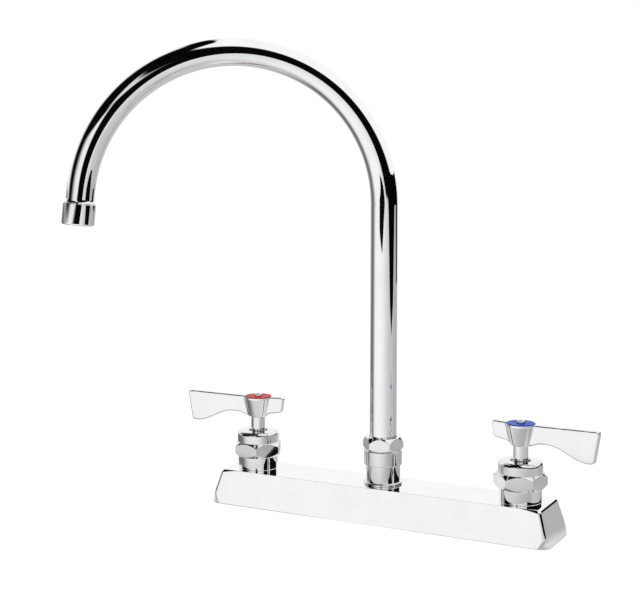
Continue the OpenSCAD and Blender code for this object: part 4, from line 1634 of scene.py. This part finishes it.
@dataclass(frozen=True)
class Studio:
    """White floor, soft light and the camera, none of it part of the tap.

    Directions are in degrees: bearings from the front, positive to the right, and heights above the horizon.
    A span gives where something starts to change and where it has changed.
    """

    floor_r: float = 6.0
    floor_drop: float = 0.0002
    floor_paint: float = 0.08
    floor_glow: float = 0.96
    floor_roughness: float = 0.9
    table_r: float = 1.3
    table_drop: float = 0.0003
    daylight: float = 1.05
    shade: float = 0.002
    canopy: float = 1.02
    canopy_lean: float = 0.67
    canopy_foot: Span = (73.0, 81.0)
    canopy_side: Span = (20.0, 30.0)
    canopy_back: Span = (-147.0, -142.0)
    left: float = 1.0
    left_lean: float = 0.7
    left_side: Span = (-90.0, -56.0)
    left_top: Span = (50.0, 68.0)
    left_back_lean: float = 0.75
    left_back: Span = (-172.0, -163.0)
    window: float = 0.92
    window_left: Span = (-45.0, -8.0)
    window_right: Span = (11.0, 17.0)
    window_top: Span = (22.0, 27.0)
    vent: float = 0.8
    vent_lean: float = 0.25
    vent_foot: Span = (26.0, 30.0)
    vent_top_lean: float = 0.85
    vent_top: Span = (44.0, 52.0)
    vent_side: Span = (-3.0, 6.0)
    dark_left: Span = (-17.0, -13.0)
    dark_right: Span = (165.0, 172.0)
    horizon: Span = (-0.8, 0.8)
    horizon_lift: float = 2.0
    lift_side: Span = (-20.0, -12.0)
    # Painted light and shade of the table by bearing: a bright lobe in front, a dark streak on the left and shade on
    # the right.
    bright_table: float = 1.0
    dim_table: float = 0.6
    lobe_bearing: float = -20.0
    lobe_span: Span = (10.0, 105.0)
    streak: float = 0.75
    streak_bearing: float = -90.0
    streak_span: Span = (10.0, 40.0)
    right_shade: float = 0.2
    right_start: Span = (95.0, 125.0)
    right_end: Span = (165.0, 175.0)
    # Painted shadow of the tap on the table: its brightness, the tap's half size, how far it reaches and where it
    # stops behind.
    painted_shadow_level: float = 0.72
    tap_half: Span = (0.128, 0.0225)
    near_span: Span = (0.06, 0.22)
    near_back: Span = (-0.05, 0.0)
    # Painted pool of light on the table under each lever: its brightness and its bounds along and across the tap.
    patch: float = 0.78
    patch_inner: Span = (0.11, 0.14)
    patch_outer: Span = (0.17, 0.26)
    patch_front: Span = (-0.07, -0.02)
    patch_back: Span = (0.0, 0.2)
    screen: Sequence[tuple[float, float, float]] = (
        (-0.9, -0.75, 0.16), (-0.42, -1.2, 0.13), (0.1, -0.563, 0.138), (0.228, -0.396, 0.2),
        (0.495, -0.334, 0.2), (0.7, -0.37, 0.17), (0.75, -0.17, 0.06), (0.77, 0.04, 0.015),
        (0.724, 0.263, 0.06), (0.65, 0.41, 0.185), (0.5, 0.6, 0.185), (0.43, 0.66, 0.08), (0.2, 1.0, 0.06),
    )
    dark_from: int = 2
    dark_h: float = 0.33
    lens: float = 76.86
    sensor: float = 36.0
    shift_y: float = -0.16
    spot: tuple[float, float, float] = (0.3975, -0.8707, 0.2708)
    pitch: float = 2.77
    roll: float = -0.14
    swing: float = 27.24

    @staticmethod
    def bearing(x: Value, y: Value) -> Value:
        """Bearing of a direction or a place."""
        return x.math("ARCTAN2", -y) * math.degrees(1.0)

    def ground(self, bearing: Value) -> Value:
        """Painted brightness of the table: most in front, a little to the left, with a painted dark streak beside that
        and painted shade on the right.

        Args:
            bearing: The bearing of the place.

        Returns:
            The brightness.
        """
        # Painted dark streak, painted bright lobe and painted shade on the right, multiplied into the table's
        # brightness.
        streak = abs(bearing - self.streak_bearing).fall(*self.streak_span) * self.streak
        lobe = abs(bearing - self.lobe_bearing).fall(*self.lobe_span)
        right = bearing.rise(*self.right_start) * bearing.fall(*self.right_end) * self.right_shade
        return (lobe * (self.bright_table - self.dim_table) + self.dim_table) * (1.0 - streak) * (1.0 - right)

    def sky(self, graph: Graph) -> Value:
        """Light that the polished surfaces reflect from the room.

        Args:
            graph: The world's tree.

        Returns:
            Its brightness by direction.
        """
        x, y, z = graph.parts(graph.node("ShaderNodeTexCoord").outputs["Generated"])
        turn, rise = self.bearing(x, y), z.math("ARCSINE") * math.degrees(1.0)
        canopy = (rise + turn * self.canopy_lean).rise(*self.canopy_foot) * turn.rise(*self.canopy_side)
        canopy = canopy.most(turn.fall(*self.canopy_back))
        left = (turn + rise * self.left_lean).fall(*self.left_side) * rise.fall(*self.left_top)
        left = left * (turn - rise * self.left_back_lean).rise(*self.left_back)
        window = turn.rise(*self.window_left) * turn.fall(*self.window_right) * rise.fall(*self.window_top)
        vent = (rise + turn * self.vent_lean).rise(*self.vent_foot)
        vent = vent * (rise + turn * self.vent_top_lean).fall(*self.vent_top) * turn.rise(*self.vent_side)
        above = (canopy * self.canopy).most(left * self.left)
        above = above.most(window * self.window).most(vent * self.vent)
        # Below the horizon the world shows the table's painted brightness, and is dark from just left of the front
        # round to the back on the right.
        dark_side = turn.rise(*self.dark_left) * turn.fall(*self.dark_right)
        below = self.ground(turn) * (1.0 - dark_side)
        level = (rise - turn.fall(*self.lift_side) * self.horizon_lift).rise(*self.horizon)
        return above * level + below * (1.0 - level) + self.shade

    def light(self) -> None:
        """Lights the room: even white for what is matt, a studio with dark sides for what is polished."""
        world = bpy.data.worlds.new("studio")
        bpy.context.scene.world = world
        graph = Graph.blank(world)
        glossy = graph.value("ShaderNodeLightPath", None, None, "Is Glossy Ray")
        bright = self.sky(graph) * glossy + (1.0 - glossy) * self.daylight
        shader = graph.node("ShaderNodeBackground", None, {"Color": grey(1.0), "Strength": bright})
        graph.node("ShaderNodeOutputWorld", None, {"Surface": shader.outputs[0]})

    @staticmethod
    def put(name: str, points: Sequence[Sequence[float]], faces: Sequence[Sequence[int]]) -> Thing:
        """Puts up a flat thing of the studio.

        Args:
            name: Name of its object.
            points: Its corners.
            faces: Its faces, by the corners' numbers.

        Returns:
            The object.
        """
        mesh = bpy.data.meshes.new(name)
        mesh.from_pydata(list(points), [], list(faces))
        thing = linked(name, mesh)
        return thing

    def disc(self, name: str, radius: float, drop: float) -> Thing:
        """Lays a flat disc under the tap.

        Args:
            name: Name of its object.
            radius: Its radius.
            drop: How far it lies below the tap's foot.

        Returns:
            The object.
        """
        turns = np.arange(COLUMNS) * math.tau / COLUMNS
        rim = [(radius * math.cos(turn), radius * math.sin(turn), -drop) for turn in turns]
        return self.put(name, rim, [range(COLUMNS)])

    def floor(self) -> None:
        """Lays the white floor, and the table top with painted light and shade that only the polished surfaces see."""
        floor = self.disc("studio_floor", self.floor_r, self.floor_drop)
        floor.visible_glossy = False
        paint = bpy.data.materials.new("floor_white")
        graph = Graph.blank(paint)
        shader = graph.node("ShaderNodeBsdfPrincipled", None, {
            "Base Color": grey(self.floor_paint), "Roughness": self.floor_roughness, "Specular IOR Level": 0.0,
            "Emission Color": grey(1.0), "Emission Strength": self.floor_glow,
        })
        graph.node("ShaderNodeOutputMaterial", None, {"Surface": shader.outputs["BSDF"]})
        floor.data.materials.append(paint)
        self.reflect_only(self.disc("studio_table", self.table_r, self.table_drop), self.table_glow)

    def table_glow(self, x: Value, y: Value) -> Value:
        """Painted brightness of the table: a painted shadow of the tap a little in front of it, and a painted pool of
        light under each lever.

        Args:
            x: Place along the tap.
            y: Place across the tap.

        Returns:
            The brightness.
        """
        off_x, off_y = ((abs(off) - half).most(0.0) for off, half in zip((x, y), self.tap_half))
        away = (off_x * off_x + off_y * off_y).math("SQRT")
        # Painted shadow of the tap, darkest next to it and only in front.
        shadow = away.fall(*self.near_span) * y.fall(*self.near_back) * (1.0 - self.painted_shadow_level)
        # Painted pool of light on the table under each lever.
        patch = abs(x).rise(*self.patch_inner) * abs(x).fall(*self.patch_outer)
        patch = patch * y.rise(*self.patch_front) * y.fall(*self.patch_back)
        return ((1.0 - shadow) * self.ground(self.bearing(x, y))).most(patch * self.patch)

    def screens(self) -> None:
        """Stands a low screen round the table, white with the table's painted brightness and black above on the right,
        that only polished surfaces see.
        """
        count = len(self.screen)
        feet = [(x, y, 0.0) for x, y, _ in self.screen]
        heads = [(x, y, self.dark_h) for x, y, _ in self.screen]
        strip = [(i, i + 1, count + i + 1, count + i) for i in range(count - 1)]
        white = self.put("studio_white_screen", [*feet, *self.screen], strip)
        # The white screen glows with the table's painted light and shade.
        self.reflect_only(white, lambda x, y: self.ground(self.bearing(x, y)))
        black = self.put("studio_black_screen", [*self.screen, *heads], strip[self.dark_from:])
        self.reflect_only(black, lambda x, y: self.shade)

    @staticmethod
    def reflect_only(thing: Thing, bright: Callable[[Value, Value], Value | float]) -> None:
        """Lights something that only the polished surfaces see.

        Args:
            thing: The object.
            bright: Its brightness by place, in the object's coordinates.
        """
        thing.visible_camera = thing.visible_diffuse = thing.visible_shadow = False
        glow = bpy.data.materials.new(thing.name)
        graph = Graph.blank(glow)
        x, y, _ = graph.parts(graph.node("ShaderNodeTexCoord").outputs["Object"])
        shader = graph.node("ShaderNodeEmission", None, {"Color": grey(1.0), "Strength": bright(x, y)})
        graph.node("ShaderNodeOutputMaterial", None, {"Surface": shader.outputs[0]})
        thing.data.materials.append(glow)

    def camera(self) -> None:
        """Sets the camera where the photograph was taken."""
        data = bpy.data.cameras.new("photo_camera")
        data.lens = self.lens
        data.sensor_width = self.sensor
        data.shift_y = self.shift_y
        thing = bpy.data.objects.new("photo_camera", data)
        thing.location = self.spot
        thing.rotation_euler = [math.radians(a) for a in (90.0 - self.pitch, self.roll, self.swing)]
        bpy.context.scene.collection.objects.link(thing)
        bpy.context.scene.camera = thing

    def set_up(self) -> None:
        """Sets up the floor, the light and the camera."""
        bpy.context.scene.view_settings.view_transform = "Standard"
        self.light()
        self.floor()
        self.screens()
        self.camera()


def dress_inner_nodes() -> None:
    """Gives each CAD node that stays in view the finish of its slot."""
    for name, thing in frame["nodes"].items():
        if not thing.hide_render:
            slot = thing.data.materials[0].name.split(".")[0]
            thing.data.materials[0] = FINISHES[slot].material()
            LOG.info("%s keeps its CAD shape, in %s", name, slot)


def main() -> None:
    """Builds the studio and every sub-assembly."""
    logging.basicConfig(level=logging.INFO, format="%(name)s: %(message)s")
    Studio().set_up()
    assemblies = [DeckBody(), SpoutMount(), Gooseneck()]
    assemblies += [kind(side) for side in Side for kind in (Bonnet, LeverHandle)]
    for assembly in assemblies:
        for piece in assembly.build():
            piece.seat()
    dress_inner_nodes()


if __name__ == "__main__":
    main()
